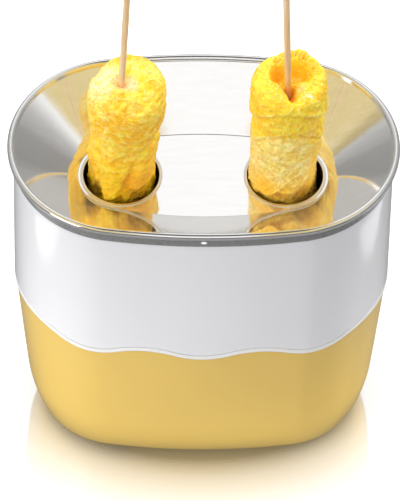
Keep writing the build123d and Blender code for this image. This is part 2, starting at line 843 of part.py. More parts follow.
def skewer(side, extra):
    """Make one leaning skewer with a pointed lower end, grown by an extra radius."""
    radius = skewer_radius + extra
    start = (Align.CENTER, Align.CENTER, Align.MIN)
    stick = Pos(0, 0, skewer_point) * Cylinder(radius, skewer_length - skewer_point, align=start)
    stick += Cone(skewer_radius / 4 + extra, radius, skewer_point, align=start)
    pivot = roll_bottom_z + left_roll_height - skewer_tip_z
    lean = Rot(0, -side * skewer_lean, 0)
    return Pos(side * tube_x, 0, skewer_tip_z + pivot) * (lean * (Pos(0, 0, -pivot) * stick))


def egg_roll(side, shares, height, crater):
    """Loft one roll through its rings and bore it for its skewer."""
    rings = []
    for height_share, radius_share, drift_share in shares:
        place = Pos(side * tube_x + drift_share * roll_radius, 0, roll_bottom_z + height * height_share)
        rings.append(place * Circle(roll_radius * radius_share))
    body = loft(rings)
    if crater:
        top = roll_bottom_z + height
        middle_x = side * tube_x + shares[-1][2] * roll_radius
        mouth = roll_radius * crater_radius_share
        start = (Align.CENTER, Align.CENTER, Align.MIN)
        hollow = Cone(mouth / 2, mouth, crater_depth + seat_gap, align=start)
        body -= Pos(middle_x, 0, top - crater_depth) * hollow
    return body - skewer(side, seat_gap)


save("steel_dish", steel_dish())
save("rim_band", rim_band())
save("indicator_lens", indicator_lens())
save("indicator_lamp", indicator_lamp())
save("upper_shell", upper_shell())
save("seam_trim", seam_trim())
save("lower_shell", lower_shell())
save("cord_bush", cord_bush())
save("base_plate", base_plate())
for foot_name, foot_place in foot_places.items():
    save(foot_name, foot(*foot_place))
save("tie_rods", tie_rods())
save("base_nuts", base_nuts())
save("deck_nuts", deck_nuts())
save("heater_deck", heater_deck())
for side_name, side_sign in (("left", -1), ("right", 1)):
    save(f"cooking_tube_{side_name}", cooking_tube(side_sign * tube_x))
    save(f"tube_gasket_{side_name}", tube_gasket(side_sign * tube_x))
    save(f"tube_ring_nut_{side_name}", tube_ring_nut(side_sign * tube_x))
    save(f"heater_band_{side_name}", heater_band(side_sign))
    save(f"heater_wire_{side_name}", heater_wire(side_sign))
    save(f"skewer_{side_name}", skewer(side_sign, 0))
save("egg_roll_left", egg_roll(-1, left_roll_shares, left_roll_height, False))
save("egg_roll_right", egg_roll(1, right_roll_shares, right_roll_height, True))
save("clamp_screws", clamp_screws())
save("heat_shield", heat_shield())
save("shield_rivets", shield_rivets())
save("thermostat", thermostat())
save("thermal_fuse", thermal_fuse())
save("fuse_clip", fuse_clip())
save("terminal_block", terminal_block())
save("terminal_screws", terminal_screws())
save("fuse_wire", fuse_wire())
save("thermostat_wire", thermostat_wire())
save("lamp_wire", lamp_wire())
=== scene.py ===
import bmesh
import bpy
import math
from math import cos, pi, radians, sin, tan
from mathutils import Matrix, Vector, noise


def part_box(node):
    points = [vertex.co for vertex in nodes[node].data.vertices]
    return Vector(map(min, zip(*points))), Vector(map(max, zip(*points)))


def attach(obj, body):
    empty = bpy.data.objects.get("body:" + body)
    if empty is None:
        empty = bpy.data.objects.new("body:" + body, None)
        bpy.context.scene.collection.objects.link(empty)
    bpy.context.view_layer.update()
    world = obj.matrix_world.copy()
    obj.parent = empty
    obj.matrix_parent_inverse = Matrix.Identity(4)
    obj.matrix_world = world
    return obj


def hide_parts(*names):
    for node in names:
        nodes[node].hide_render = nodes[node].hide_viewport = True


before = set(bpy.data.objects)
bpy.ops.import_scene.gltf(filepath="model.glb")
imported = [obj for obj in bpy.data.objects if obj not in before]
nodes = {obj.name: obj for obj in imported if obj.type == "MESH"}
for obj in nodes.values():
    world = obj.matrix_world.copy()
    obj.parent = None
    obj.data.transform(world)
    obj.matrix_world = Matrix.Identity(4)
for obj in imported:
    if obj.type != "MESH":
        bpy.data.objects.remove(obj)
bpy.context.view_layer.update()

MM = 0.001

# Sizes repeated from the construction, in metres, with the overall ones read from model.glb
BEAD = 1.75 * MM
SHEET = 0.8 * MM
DISH_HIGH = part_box("steel_dish")[1]
RIM_Z = DISH_HIGH.z
HALF_WIDTH = DISH_HIGH.x - BEAD
HALF_DEPTH = 57.0 * MM - BEAD
END_RADIUS = HALF_DEPTH * 0.947
END_X = HALF_WIDTH - END_RADIUS
TUBE_X = 38.9 * MM
TUBE_R = 18.1 * MM
TUBE_WALL = 0.9 * MM
LIP_R = TUBE_R + 1.5 * MM
LIP_T = 0.5 * MM
FLAT_Z = RIM_Z - 23.1 * MM
FLAT_END_R = LIP_R + 1.0 * MM
FLAT_HALF_DEPTH = LIP_R + 5.8 * MM
BEAD_Z = RIM_Z - BEAD
SEAT_GAP = 0.1 * MM
BAND_TOP = BEAD_Z - BEAD - SEAT_GAP
SHELL_TOP = BAND_TOP - 6.3 * MM
SHELL_INSET = 1.1 * MM
SHELL_EDGE = 1.1 * MM
CASING_WALL = 2.6 * MM
SEAM_Z = 93.4 * MM
SEAM_WAVE = 54.0 * MM
SEAM_RISE = 2.4 * MM
SEAM_GAP = 0.25 * MM
TRIM_HEIGHT = 3.1 * MM
TRIM_REACH = 5.4 * MM
TRIM_ROUND = 0.9 * MM
SEAM_STEP = 0.6 * MM
SOFT_EDGE = 0.3 * MM
BASE_Z = 2.0 * MM
BASE_EDGE = 7.0 * MM
BASE_RING = 4.0 * MM
BASE_PLATE = 2.5 * MM
FLANGE = 8.0 * MM
TAPER = radians(4.9)
TURN = radians(20.0)
SIDE_CURVE = 95.0 * MM
BUSH_LIP = 1.6 * MM
BUSH_BOSS_R = 8.6 * MM
BUSH_HOLE_R = 5.1 * MM
TUBE_FLOOR = 2.0 * MM
TUBE_CORNER = 4.0 * MM
NAMES = {-1: "left", 1: "right"}

# How finely the plan outline and the lathed pieces are divided
END_STEPS = 96
LONG_STEPS = 72
LATHE_STEPS = 128
LATHE_TURNS = [2 * pi * step / LATHE_STEPS for step in range(LATHE_STEPS)]
SMOOTH_ANGLE = radians(38)


def oval_columns(centre_x, radius, depth):
    """List the centre, radius and outward direction of each step round a four-arc oval."""
    long_radius = (centre_x**2 + depth**2 - radius**2) / (2 * (depth - radius))
    long_half = math.atan2(centre_x, long_radius - depth)
    end_half = pi / 2 - long_half
    arcs = [
        (Vector((centre_x, 0)), radius, 0.0, end_half, END_STEPS),
        (Vector((0, depth - long_radius)), long_radius, pi / 2, long_half, LONG_STEPS),
        (Vector((-centre_x, 0)), radius, pi, end_half, END_STEPS),
        (Vector((0, long_radius - depth)), long_radius, 3 * pi / 2, long_half, LONG_STEPS),
    ]
    columns = []
    for centre, arc_radius, middle, half, steps in arcs:
        for step in range(steps):
            angle = middle - half + 2 * half * step / steps
            columns.append((centre, arc_radius, Vector((cos(angle), sin(angle)))))
    return columns


COLUMNS = oval_columns(END_X, END_RADIUS, HALF_DEPTH)
FLAT_COLUMNS = oval_columns(TUBE_X, FLAT_END_R, FLAT_HALF_DEPTH)


def plan_point(column, inset, z=0.0):
    """Give the place of a column at an inset from the oval's line and at a height."""
    centre, radius, direction = column
    x, y = centre + direction * (radius - inset)
    return Vector((x, y, z))


def seam_height(x):
    """Give the height of the wavy seam, a chain of equal arcs, at a place across the front."""
    half = SEAM_WAVE / 2
    number = math.floor(x / half + 0.5)
    away = x - number * half
    radius = ((half / 2) ** 2 + SEAM_RISE**2) / (2 * SEAM_RISE)
    sag = math.sqrt(radius**2 - away**2) - (radius - SEAM_RISE)
    return SEAM_Z + (-sag if number % 2 == 0 else sag)


def arc(centre, radius, start, end, steps):
    """List points of an arc in a section, angles in degrees."""
    points = []
    for step in range(steps + 1):
        angle = radians(start + (end - start) * step / steps)
        points.append((centre[0] + radius * cos(angle), centre[1] + radius * sin(angle)))
    return points


def edge_rows(inset, height, radius, start, end, steps, wave=0.0):
    """List the (inset, height, wave) rows of a rounded edge about a centre, angles in degrees."""
    return [(-x, z, wave) for x, z in arc((-inset, height), radius, start, end, steps)]


def paired(items):
    """Pair every item with the next one round a loop."""
    return list(zip(items, items[1:] + items[:1]))


def ring_faces(rings, count, closed=True):
    """List the faces between rings of points, joining the last ring to the first if closed."""
    faces = []
    for i in range(rings if closed else rings - 1):
        j = (i + 1) % rings
        for a, b in paired(list(range(count))):
            faces.append((i * count + a, i * count + b, j * count + b, j * count + a))
    return faces


def placed(name, data):
    """Put a mesh, a light or a camera in the scene."""
    obj = bpy.data.objects.new(name, data)
    bpy.context.scene.collection.objects.link(obj)
    return obj


def stand_for(obj, node, body="maker"):
    """Let an object stand in for a CAD node on its body."""
    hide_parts(node)
    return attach(obj, body)


def finished(mesh, bm, materials, sharp=SMOOTH_ANGLE):
    """Put a mesh in the scene, smooth shaded and with every face pointed outwards."""
    bmesh.ops.recalc_face_normals(bm, faces=bm.faces)
    bm.to_mesh(mesh)
    bm.free()
    for material in materials:
        mesh.materials.append(material)
    mesh.shade_smooth()
    mesh.set_sharp_from_angle(angle=sharp)
    return placed(mesh.name, mesh)


def new_object(name, verts, faces, materials, chosen=None, weld=False, sharp=SMOOTH_ANGLE):
    """Make a mesh object from points and faces, with a chosen material for each face."""
    mesh = bpy.data.meshes.new(name)
    mesh.from_pydata(verts, [], faces)
    if chosen:
        mesh.polygons.foreach_set("material_index", chosen)
    bm = bmesh.new()
    bm.from_mesh(mesh)
    if weld:
        bmesh.ops.remove_doubles(bm, verts=bm.verts, dist=1e-7)
    return finished(mesh, bm, materials, sharp)


def casing(name, node, rows, material):
    """Run a closed section of (inset, height, wave) rows round the plan, in place of a CAD node."""
    verts = []
    for column in COLUMNS:
        for inset, height, wave in rows:
            place = plan_point(column, inset)
            lift = wave * (seam_height(place.x) - SEAM_Z)
            verts.append((place.x, place.y, height + lift))
    obj = new_object(name, verts, ring_faces(len(COLUMNS), len(rows)), [material])
    return stand_for(obj, node)


def lathe(name, section, x, materials, pick):
    """Turn a closed section of (radius, height) points about an upright axis."""
    verts = []
    for turn in LATHE_TURNS:
        for radius, height in section:
            verts.append((x + radius * cos(turn), radius * sin(turn), height))
    faces, chosen = [], []
    sides = paired(section)
    for number, face in enumerate(ring_faces(LATHE_STEPS, len(section))):
        start, end = sides[number % len(section)]
        if max(start[0], end[0]) >= 1e-7:
            faces.append(face)
            chosen.append(pick(start, end))
    return new_object(name, verts, faces, materials, chosen, weld=True)


def rod(name, rows, around, point, material, sharp=SMOOTH_ANGLE):
    """Build a capped rod from a function that gives a point for a turn and a share of its run."""
    verts = []
    for row in range(rows + 1):
        for step in range(around):
            verts.append(point(2 * pi * step / around, row / rows))
    faces = ring_faces(rows + 1, around, False)
    faces += [tuple(reversed(range(around))), tuple(range(rows * around, (rows + 1) * around))]
    return new_object(name, verts, faces, [material], sharp=sharp)


def rgba(colour):
    """Give a colour, or the grey that one number stands for, with full opacity."""
    return (*colour, 1.0) if isinstance(colour, tuple) else (colour, colour, colour, 1.0)


class Signal:
    """One node's output, which can be reckoned with like a number."""

    def __init__(self, graph, socket):
        self.graph = graph
        self.socket = socket

    def __add__(self, other):
        return self.graph.math("ADD", self, other)

    def __sub__(self, other):
        return self.graph.math("SUBTRACT", self, other)

    def __rsub__(self, other):
        return self.graph.math("SUBTRACT", other, self)

    def __mul__(self, other):
        return self.graph.math("MULTIPLY", self, other)

    def __abs__(self):
        return self.graph.math("ABSOLUTE", self)

    def fit(self, low, high, start=0.3, end=0.7, kind="LINEAR"):
        """Go from low to high while it goes from start to end."""
        node = self.graph.add("MapRange", Value=self, From_Min=start, From_Max=end, To_Min=low, To_Max=high)
        node.interpolation_type = kind
        return self.graph.out(node, "Result")

    def step(self, start, end, low=0.0, high=1.0):
        """Ease from low to high while it goes from start to end."""
        return self.fit(low, high, start, end, "SMOOTHSTEP")

    def ramp(self, stops):
        """Look it up between stops of colour or grey."""
        node = self.graph.add("ValToRGB", Fac=self)
        elements = node.color_ramp.elements
        while len(elements) < len(stops):
            elements.new(0.5)
        for element, (position, colour) in zip(elements, stops):
            element.position = position
            element.color = rgba(colour)
        return self.graph.out(node, "Color")

    def mix(self, first, second, blend="MIX"):
        """Blend a first colour with a second by it."""
        node = self.graph.add("Mix")
        node.data_type = "RGBA"
        node.blend_type = blend
        for number, value in ((0, self), (6, first), (7, second)):
            self.graph.feed(node.inputs[number], value)
        return self.graph.out(node, 2)

    def length(self):
        """Give its length as a vector."""
        node = self.graph.add("VectorMath", Vector=self)
        node.operation = "LENGTH"
        return self.graph.out(node, "Value")


class Graph:
    """The nodes of one material or of the surroundings."""

    def __init__(self, owner, coordinate):
        owner.use_nodes = True
        self.nodes = owner.node_tree.nodes
        self.links = owner.node_tree.links
        self.coords = self.out(self.add("TexCoord"), coordinate)

    def add(self, kind, **inputs):
        """Add a node and fill its inputs."""
        node = self.nodes.new("ShaderNode" + kind)
        self.fill(node, **inputs)
        return node

    def fill(self, node, **inputs):
        """Fill inputs of a node by name."""
        for name, value in inputs.items():
            self.feed(node.inputs[name.replace("_", " ")], value)

    def feed(self, socket, value):
        """Give an input a number, a colour or another node's output."""
        if isinstance(value, Signal):
            self.links.new(value.socket, socket)
        else:
            socket.default_value = rgba(value) if socket.type == "RGBA" else value

    def out(self, node, name):
        """Give one output of a node."""
        return Signal(self, node.outputs[name])

    def math(self, operation, *values):
        """Combine values."""
        node = self.add("Math")
        node.operation = operation
        for socket, value in zip(node.inputs, values):
            self.feed(socket, value)
        return self.out(node, 0)

    def axis(self, name):
        """Give one coordinate."""
        return self.out(self.add("SeparateXYZ", Vector=self.coords), name)

    def stretched(self, scale):
        """Give coordinates stretched along each axis."""
        return self.out(self.add("Mapping", Vector=self.coords, Scale=scale), "Vector")

    def noise(self, scale, detail=4.0, rough=0.55, bent=0.0, vector=None):
        """Make a noise pattern."""
        node = self.add("TexNoise", Scale=scale, Detail=detail, Roughness=rough, Distortion=bent)
        self.fill(node, Vector=vector or self.coords)
        return self.out(node, "Fac")

    def cells(self, scale, vector=None):
        """Make a cell pattern."""
        return self.out(self.add("TexVoronoi", Scale=scale, Vector=vector or self.coords), "Distance")

    def patch(self, place, size, inner, edge):
        """Give a soft spot of strength inner about a place in millimetres, fading over its outer part."""
        place, size = ([value * MM for value in values] for values in (place, size))
        mapping = self.add("Mapping", Vector=self.coords, Location=place, Scale=size)
        mapping.vector_type = "TEXTURE"
        return self.out(mapping, "Vector").length().step(edge, 1.0, inner, 0.0)


class Paint(Graph):
    """The nodes of one material, in object coordinates."""

    def __init__(self, name, **inputs):
        self.material = bpy.data.materials.new(name)
        super().__init__(self.material, "Object")
        self.shader = self.nodes["Principled BSDF"]
        self.surface(**inputs)

    def surface(self, **inputs):
        """Fill inputs of the shader."""
        self.fill(self.shader, **inputs)

    def height(self, source, strength, distance):
        """Bump the surface by a value, up to a distance in millimetres."""
        bump = self.add("Bump", Strength=strength, Distance=distance * MM, Height=source)
        self.surface(Normal=self.out(bump, "Normal"))


EVEN = (1, 1, 1)


def tones(colour, spread):
    """Give ramp stops a little darker and a little lighter than a colour."""
    stops = ((0.3, 1 - spread), (0.7, 1 + spread))
    return [(place, tuple(min(1.0, channel * factor) for channel in colour)) for place, factor in stops]


def metal(name, colour, low, high, grain=EVEN, scale=400.0, spread=0.06):
    """Metal with fine grain in its colour, gloss and height."""
    paint = Paint(name, Metallic=1.0)
    grained = paint.noise(scale, 5.0, 0.6, vector=paint.stretched(grain))
    paint.surface(Base_Color=grained.ramp(tones(colour, spread)), Roughness=grained.fit(low, high))
    paint.height(grained, 0.3, 0.02)
    return paint.material


def moulded(name, colour, low, high, scale=700.0, bump=0.01, coat=0.0, spread=0.02, detail=3.0):
    """Moulded plastic with faint mottle and a fine skin."""
    paint = Paint(name, Coat_Weight=coat, Coat_Roughness=0.08)
    fine = paint.noise(scale, detail, 0.6)
    mottle = paint.noise(25.0, 3.0).ramp(tones(colour, spread))
    paint.surface(Base_Color=mottle, Roughness=fine.fit(low, high))
    paint.height(fine, 0.25, bump)
    return paint.material


def polished_steel():
    """Mirror-bright sheet with faint wiping marks."""
    paint = Paint("polished_steel", Metallic=0.9)
    marks = paint.noise(60.0, 6.0, 0.6, vector=paint.stretched((1, 6, 1)))
    grey = 0.91
    wiped = marks.ramp([(0.25, grey * 0.97), (0.75, grey * 1.02)])
    paint.surface(Base_Color=wiped, Roughness=marks.fit(0.035, 0.085))
    paint.height(paint.noise(38.0, 2.0, 0.4), 0.05, 0.25)
    return paint.material


def nonstick():
    """Black coating with fine sparkle and light wear in scattered patches."""
    paint = Paint("nonstick_black", Coat_Weight=0.2, Coat_Roughness=0.3)
    grain = paint.noise(1500.0, 2.0)
    wear = paint.noise(180.0, 4.0, 0.6).fit(0.0, 0.35, 0.55, 0.8)
    base = grain.ramp([(0.35, (0.01, 0.009, 0.009)), (0.7, (0.028, 0.025, 0.023))])
    paint.surface(Base_Color=wear.mix(base, (0.06, 0.05, 0.04)), Roughness=grain.fit(0.32, 0.5))
    paint.height(grain, 0.3, 0.03)
    return paint.material


def bamboo():
    """Pale split bamboo with long fibres."""
    paint = Paint("bamboo")
    fibres = paint.noise(900.0, 6.0, 0.65, vector=paint.stretched((1, 1, 0.03)))
    broad = paint.noise(60.0, 2.0, vector=paint.stretched((1, 1, 0.3))).fit(0.0, 0.3)
    pale = fibres.ramp([(0.3, (0.62, 0.38, 0.17)), (0.5, (0.79, 0.55, 0.3)), (0.7, (0.91, 0.72, 0.46))])
    paint.surface(Base_Color=broad.mix(pale, (0.74, 0.47, 0.24)), Roughness=fibres.fit(0.45, 0.65))
    paint.height(fibres, 0.5, 0.12)
    return paint.material


def egg_shader(name):
    """Start a moist, slightly see-through egg material."""
    depth = {"Subsurface_Weight": 0.12, "Subsurface_Scale": 0.003, "Subsurface_Radius": (1.0, 0.5, 0.12)}
    return Paint(name, **depth, Specular_IOR_Level=0.25, Coat_Weight=0.06, Coat_Roughness=0.2)


def egg_finish(paint, colour, broad, wet, dark, pale):
    """Add pits, fine wrinkles, painted glints as pale specks, painted highlights on the ridges, painted shade
    in the folds and wet spots to an egg material.
    """
    fine = paint.noise(1100.0, 4.0, 0.65)
    specks = paint.noise(700.0, 2.0, 0.55)
    ridges = abs(paint.noise(300.0, 3.0, 0.6, 0.8) - 0.5)
    bent = paint.out(paint.add("NewGeometry"), "Pointiness")
    above = paint.axis("Z").fit(0.12, 1.0, 0.178, 0.212)
    # Painted glints: pale specks, mostly on the upper part of the roll.
    colour = (specks.fit(0.0, 0.35, 0.58, 0.7) * above).mix(colour, pale)
    colour = ridges.fit(0.45, 0.0, 0.0, 0.05).mix(colour, dark)
    colour = specks.fit(0.55, 0.0, 0.3, 0.43).mix(colour, dark)
    # Painted highlight on the ridges and painted shade in the folds, both read from the mesh's pointiness.
    colour = (bent.fit(0.0, 0.5, 0.515, 0.56) * above).mix(colour, pale)
    colour = bent.fit(0.85, 0.0, 0.43, 0.49).mix(colour, dark)
    paint.surface(Base_Color=colour, Roughness=(fine + wet).fit(0.52, 0.28, 0.35, 0.95))
    paint.height(fine * 0.7 + paint.cells(620.0) + broad * 1.2, 0.5, 0.45)
    return paint.material


def spots_and_painted_light(paint, colour, spots, strength):
    """Lay soft coloured spots over an egg colour: some are the egg's own colour, others are painted shade,
    painted shadow and painted highlights.
    """
    for place, size, amount, tint in spots:
        colour = (paint.patch(place, size, 1.0, 0.3) * amount * strength).mix(colour, tint)
    return colour


def browned_and_shaded_foot(paint, colour, foot, charred_and_shade, broad, tints, end):
    """Lay the browned foot, darkened further as painted shade just above the mouth, and the golden part below
    it over an egg colour.
    """
    height = paint.axis("Z")
    behind = paint.axis("Y").fit(0.0, 0.09, -0.006, 0.008)
    uneven = height + (paint.noise(75.0, 3.0, 0.6) - 0.5) * behind
    # Painted shade: the near-black band just above the mouth stands for the shade where the roll goes into
    # the tube, on top of its browning.
    colour = (uneven.fit(1.0, 0.0, *foot[:2]) * foot[2]).mix(colour, charred_and_shade)
    golden = broad.fit(0.0, 1.0, 0.42, 0.58).mix(*tints)
    return height.fit(1.0, 0.0, 0.112, end).mix(colour, golden)


def bright_egg():
    """The left roll: vivid yellow with orange folds, a painted cream highlight above, painted shade low down
    and a browned foot.
    """
    paint = egg_shader("egg_bright")
    broad = paint.noise(95.0, 4.0, 0.6, 0.8)
    strands = paint.noise(230.0, 3.0, 0.55, 0.9, paint.stretched((0.8, 0.9, 1.15)))
    flecks = paint.noise(420.0, 3.0, 0.6)
    height = paint.axis("Z")
    colour = broad.fit(0.0, 1.0, 0.4, 0.58).mix((1.0, 0.56, 0.012), (1.0, 0.79, 0.05))
    light = strands.fit(0.0, 0.65, 0.5, 0.64) * height.fit(0.1, 1.0, 0.18, 0.215)
    colour = light.mix(colour, (1.0, 0.9, 0.27))
    colour = flecks.fit(0.0, 0.55, 0.56, 0.68).mix(colour, (1.0, 0.52, 0.015))
    # Painted highlight: a cream-white spot on the upper left of the dome; a weaker copy of it also lowers the
    # roughness as a wet spot.
    cream = paint.patch((-49, 2, 231), (15, 15, 15), 1.0, 0.2)
    colour = (cream * flecks.fit(0.25, 1.0, 0.38, 0.58)).mix(colour, (1.0, 0.97, 0.62))
    ring = paint.patch((-36, -1, 232), (6.5, 6, 5), 1.0, 0.4)
    colour = (ring * 0.7).mix(colour, (1.0, 0.82, 0.55))
    colour = height.fit(0.75, 0.0, 0.172, 0.196).mix(colour, (1.0, 0.6, 0.006))
    colour = spots_and_painted_light(paint, colour, (
        ((-35, -14, 208), (10, 12, 8), 0.25, (1.0, 0.54, 0.01)),
        ((-23, -9, 206), (8, 9, 16), 0.45, (1.0, 0.56, 0.03)),
        ((-43, -14, 182), (8, 10, 13), 0.7, (0.88, 0.6, 0.008)),
        # Painted shade in the cut-back left recess.
        ((-51, -12, 178), (6, 10, 14), 0.6, (0.66, 0.42, 0.03)),
        ((-31, -14, 176), (10, 10, 11), 0.85, (0.8, 0.35, 0.006)),
        # From here to the end of the list: painted shade in the groove, in the left recess and at the front
        # of the foot.
        ((-37, -15, 176), (2.6, 8, 8), 0.7, (0.6, 0.24, 0.006)),
        ((-44, -17, 160.5), (9, 7, 6.5), 0.9, (0.16, 0.075, 0.01)),
        ((-55, -4, 171), (5, 10, 9), 0.75, (0.45, 0.28, 0.05)),
        ((-52, -9, 164.5), (5.5, 8, 8), 1.0, (0.05, 0.028, 0.01)),
        ((-30, -13, 158), (11, 10, 8.5), 1.0, (0.11, 0.04, 0.006)),
        ((-31, -13, 167), (10, 9, 6), 0.7, (0.4, 0.17, 0.01)),
    ), broad.fit(0.75, 1.0))
    foot = (0.156, 0.165, flecks.fit(0.8, 1.0))
    tints = ((0.5, 0.22, 0.02), (0.86, 0.52, 0.06))
    # The near-black colour is browning and painted shade at the mouth.
    colour = browned_and_shaded_foot(paint, colour, foot, (0.085, 0.032, 0.006), broad, tints, 0.158)
    return egg_finish(paint, colour, strands, cream * 0.4, (0.93, 0.4, 0.01), (1.0, 0.95, 0.5))


def pale_egg():
    """The right roll: bright collar, orange crater, cream skins with browned veins and spots, and painted
    highlights, glints, shadow and shade.
    """
    paint = egg_shader("egg_pale")
    broad = paint.noise(120.0, 4.0, 0.6, 0.7)
    blotch = paint.noise(240.0, 4.0, 0.65, 1.2)
    flecks = paint.noise(460.0, 3.0, 0.6)
    height = paint.axis("Z")
    cream = broad.fit(0.0, 1.0, 0.4, 0.6).mix((1.0, 0.83, 0.2), (1.0, 0.93, 0.42))
    cream = blotch.fit(0.0, 0.6, 0.54, 0.68).mix(cream, (0.98, 0.6, 0.06))
    cream = flecks.fit(0.0, 0.4, 0.55, 0.68).mix(cream, (1.0, 0.96, 0.5))
    between = paint.cells(250.0, paint.stretched((1.0, 1.0, 1.25))) + (blotch - 0.5) * 0.9
    cream = between.fit(0.0, 0.65, 0.44, 0.66).mix(cream, (0.84, 0.6, 0.1))
    cream = height.fit(0.8, 0.0, 0.166, 0.186).mix(cream, (1.0, 0.6, 0.04))
    bright = broad.fit(0.0, 1.0, 0.4, 0.58).mix((1.0, 0.6, 0.012), (1.0, 0.8, 0.05))
    front = paint.patch((38.9, -17, 230), (30, 15, 17), 1.0, 0.55)
    lower_front = paint.patch((35.5, -22, 203.5), (20, 17, 10.5), 1.0, 0.7)
    above = height.fit(0.0, 1.0, 0.199, 0.206) - lower_front
    ragged = (paint.noise(170.0, 5.0, 0.65) - 0.5) * 1.6
    above = paint.math("MAXIMUM", above, front * 0.6) + ragged
    colour = above.fit(0.0, 1.0, 0.1, 0.7).mix(cream, bright)
    veins = abs(paint.noise(170.0, 4.0, 0.6, 1.4) - 0.5)
    browned = veins.fit(0.9, 0.0, 0.0, 0.035) * height.fit(1.0, 0.2, 0.165, 0.205)
    colour = browned.mix(colour, (0.56, 0.24, 0.02))
    uneven = blotch.fit(0.6, 1.0)
    colour = spots_and_painted_light(paint, colour, (
        ((39.5, 2, 228), (11.5, 12, 8), 0.9, (1.0, 0.47, 0.01)),
        ((33.5, 6, 230), (7, 7, 7), 0.7, (1.0, 0.38, 0.005)),
        ((40.5, -5, 227), (3.2, 6, 7), 0.85, (0.92, 0.2, 0.004)),
        # Painted highlights on the crater's inner folds, the next two spots.
        ((33.5, -4.5, 231), (4.2, 4, 4), 0.85, (1.0, 0.84, 0.38)),
        ((45.5, -3.5, 232), (5.5, 4, 4), 0.8, (1.0, 0.8, 0.34)),
        ((50, -12, 218), (8, 9, 5), 0.6, (1.0, 0.54, 0.02)),
        ((48, -13, 210), (8, 8, 6), 0.7, (0.95, 0.66, 0.18)),
        ((53, -8, 190), (7, 12, 24), 0.85, (0.98, 0.58, 0.05)),
        ((29, -13, 174), (9, 9, 9), 0.85, (1.0, 0.54, 0.01)),
        ((50, -12, 168), (8, 9, 10), 0.75, (0.8, 0.42, 0.02)),
        # From here to the end of the list: painted shade at the foot and a painted shadow along the flap's
        # lower edge.
        ((46, -14, 167), (7, 8, 5.5), 1.0, (0.26, 0.1, 0.01)),
        ((36, -16, 168), (7, 8, 2.5), 0.9, (0.5, 0.2, 0.012)),
        ((53, -6, 162), (7, 9, 6), 0.9, (0.1, 0.045, 0.008)),
    ), uneven)
    tints = ((0.56, 0.28, 0.03), (0.9, 0.58, 0.1))
    # The dark colour is browning and painted shade at the mouth.
    colour = browned_and_shaded_foot(paint, colour, (0.158, 0.166, uneven), (0.22, 0.085, 0.012), broad, tints, 0.156)
    # Painted glints: near-white flecks in a wet spot, which also lowers the roughness.
    wet = paint.patch((46.5, -10, 236), (7, 3.2, 4), 1.0, 0.3)
    painted_glints = wet * paint.noise(900.0, 2.0).fit(0.0, 1.0, 0.52, 0.56)
    colour = painted_glints.mix(colour, (1.0, 0.97, 0.88))
    return egg_finish(paint, colour, blotch, wet, (0.9, 0.44, 0.02), (1.0, 0.96, 0.5))


def window_glass():
    """Clear moulded window, lit from behind in its middle."""
    paint = Paint("window_clear", Transmission_Weight=0.4, Emission_Strength=1.0)
    low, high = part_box("indicator_lens")
    glow = paint.patch((low + high) / 2 / MM, (2.2, 4.0, 1.3), 1.0, 0.3)
    haze = paint.noise(900.0, 2.0)
    clear = haze.ramp([(0.3, (0.34, 0.35, 0.36)), (0.7, (0.4, 0.41, 0.42))])
    lit = glow.mix(0.03, (1.0, 0.98, 0.93))
    paint.surface(Base_Color=clear, Roughness=haze.fit(0.05, 0.2), Emission_Color=lit)
    return paint.material


STEEL = polished_steel()
NONSTICK = nonstick()
LIP_METAL = metal("tube_lip_alloy", (0.97, 0.95, 0.89), 0.42, 0.52, (1, 1, 8), 500.0, 0.03)
WHITE = moulded("shell_white_gloss", (0.725, 0.725, 0.752), 0.14, 0.2, 900.0, 0.004, 0.6, 0.008)
TRIM_WHITE = moulded("trim_white_gloss", (0.77, 0.765, 0.75), 0.2, 0.28, 900.0, 0.004, 0.4, 0.008)
YELLOW = moulded("shell_yellow_gloss", (0.71, 0.48, 0.11), 0.2, 0.27, 900.0, 0.004, 0.2, 0.012)
BAMBOO = bamboo()
EGG_LEFT = bright_egg()
EGG_RIGHT = pale_egg()


def bend(corner, before, after, steps):
    """Round a corner between two points with a short curve."""
    points = []
    for step in range(steps + 1):
        t = step / steps
        points.append(before * (1 - t) ** 2 + corner * (2 * t * (1 - t)) + after * t**2)
    return points


def dish_column(rim, flat):
    """List one upright section of the dish, from the flat's top round the curl to its underside."""
    rise = BEAD_Z - FLAT_Z + SHEET / 2
    slope = math.atan(rise / (HALF_DEPTH - FLAT_HALF_DEPTH))
    drop = SHEET / 2 / cos(slope)
    half_turn = math.asin(SHEET / 2 / BEAD)
    outer, inner = pi + slope - half_turn, pi + slope + half_turn
    tip = radians(-65)
    support = 0.3 * MM

    def curl(radius, angle):
        """Give a point of the rolled rim."""
        return plan_point(rim, -radius * cos(angle), BEAD_Z + radius * sin(angle))

    def wall(level, outset, lift, radius, end):
        """List one face of the wall, from the flat up to the curl."""
        foot = plan_point(flat, -outset, level)
        direction = (plan_point(rim, 0, BEAD_Z + lift) - foot).normalized()
        outward = Vector((direction.x, direction.y, 0)).normalized()
        reach = radius * tan(slope / 2)
        points = [foot - outward * (reach + support)]
        points += bend(foot, foot - outward * reach, foot + direction * reach, 8)
        start = points[-1]
        return points + [start.lerp(end, n / 28) for n in range(1, 29)]

    points = wall(FLAT_Z, 0.0, drop, 0.8 * MM, curl(BEAD, outer))
    points += [curl(BEAD, outer + (tip - outer) * n / 48) for n in range(1, 49)]
    points += [curl(BEAD - SHEET, tip + (inner - tip) * n / 32) for n in range(33)]
    under = wall(FLAT_Z - SHEET, SHEET * tan(slope / 2), -drop, 1.6 * MM, curl(BEAD, inner))
    return points + under[::-1]


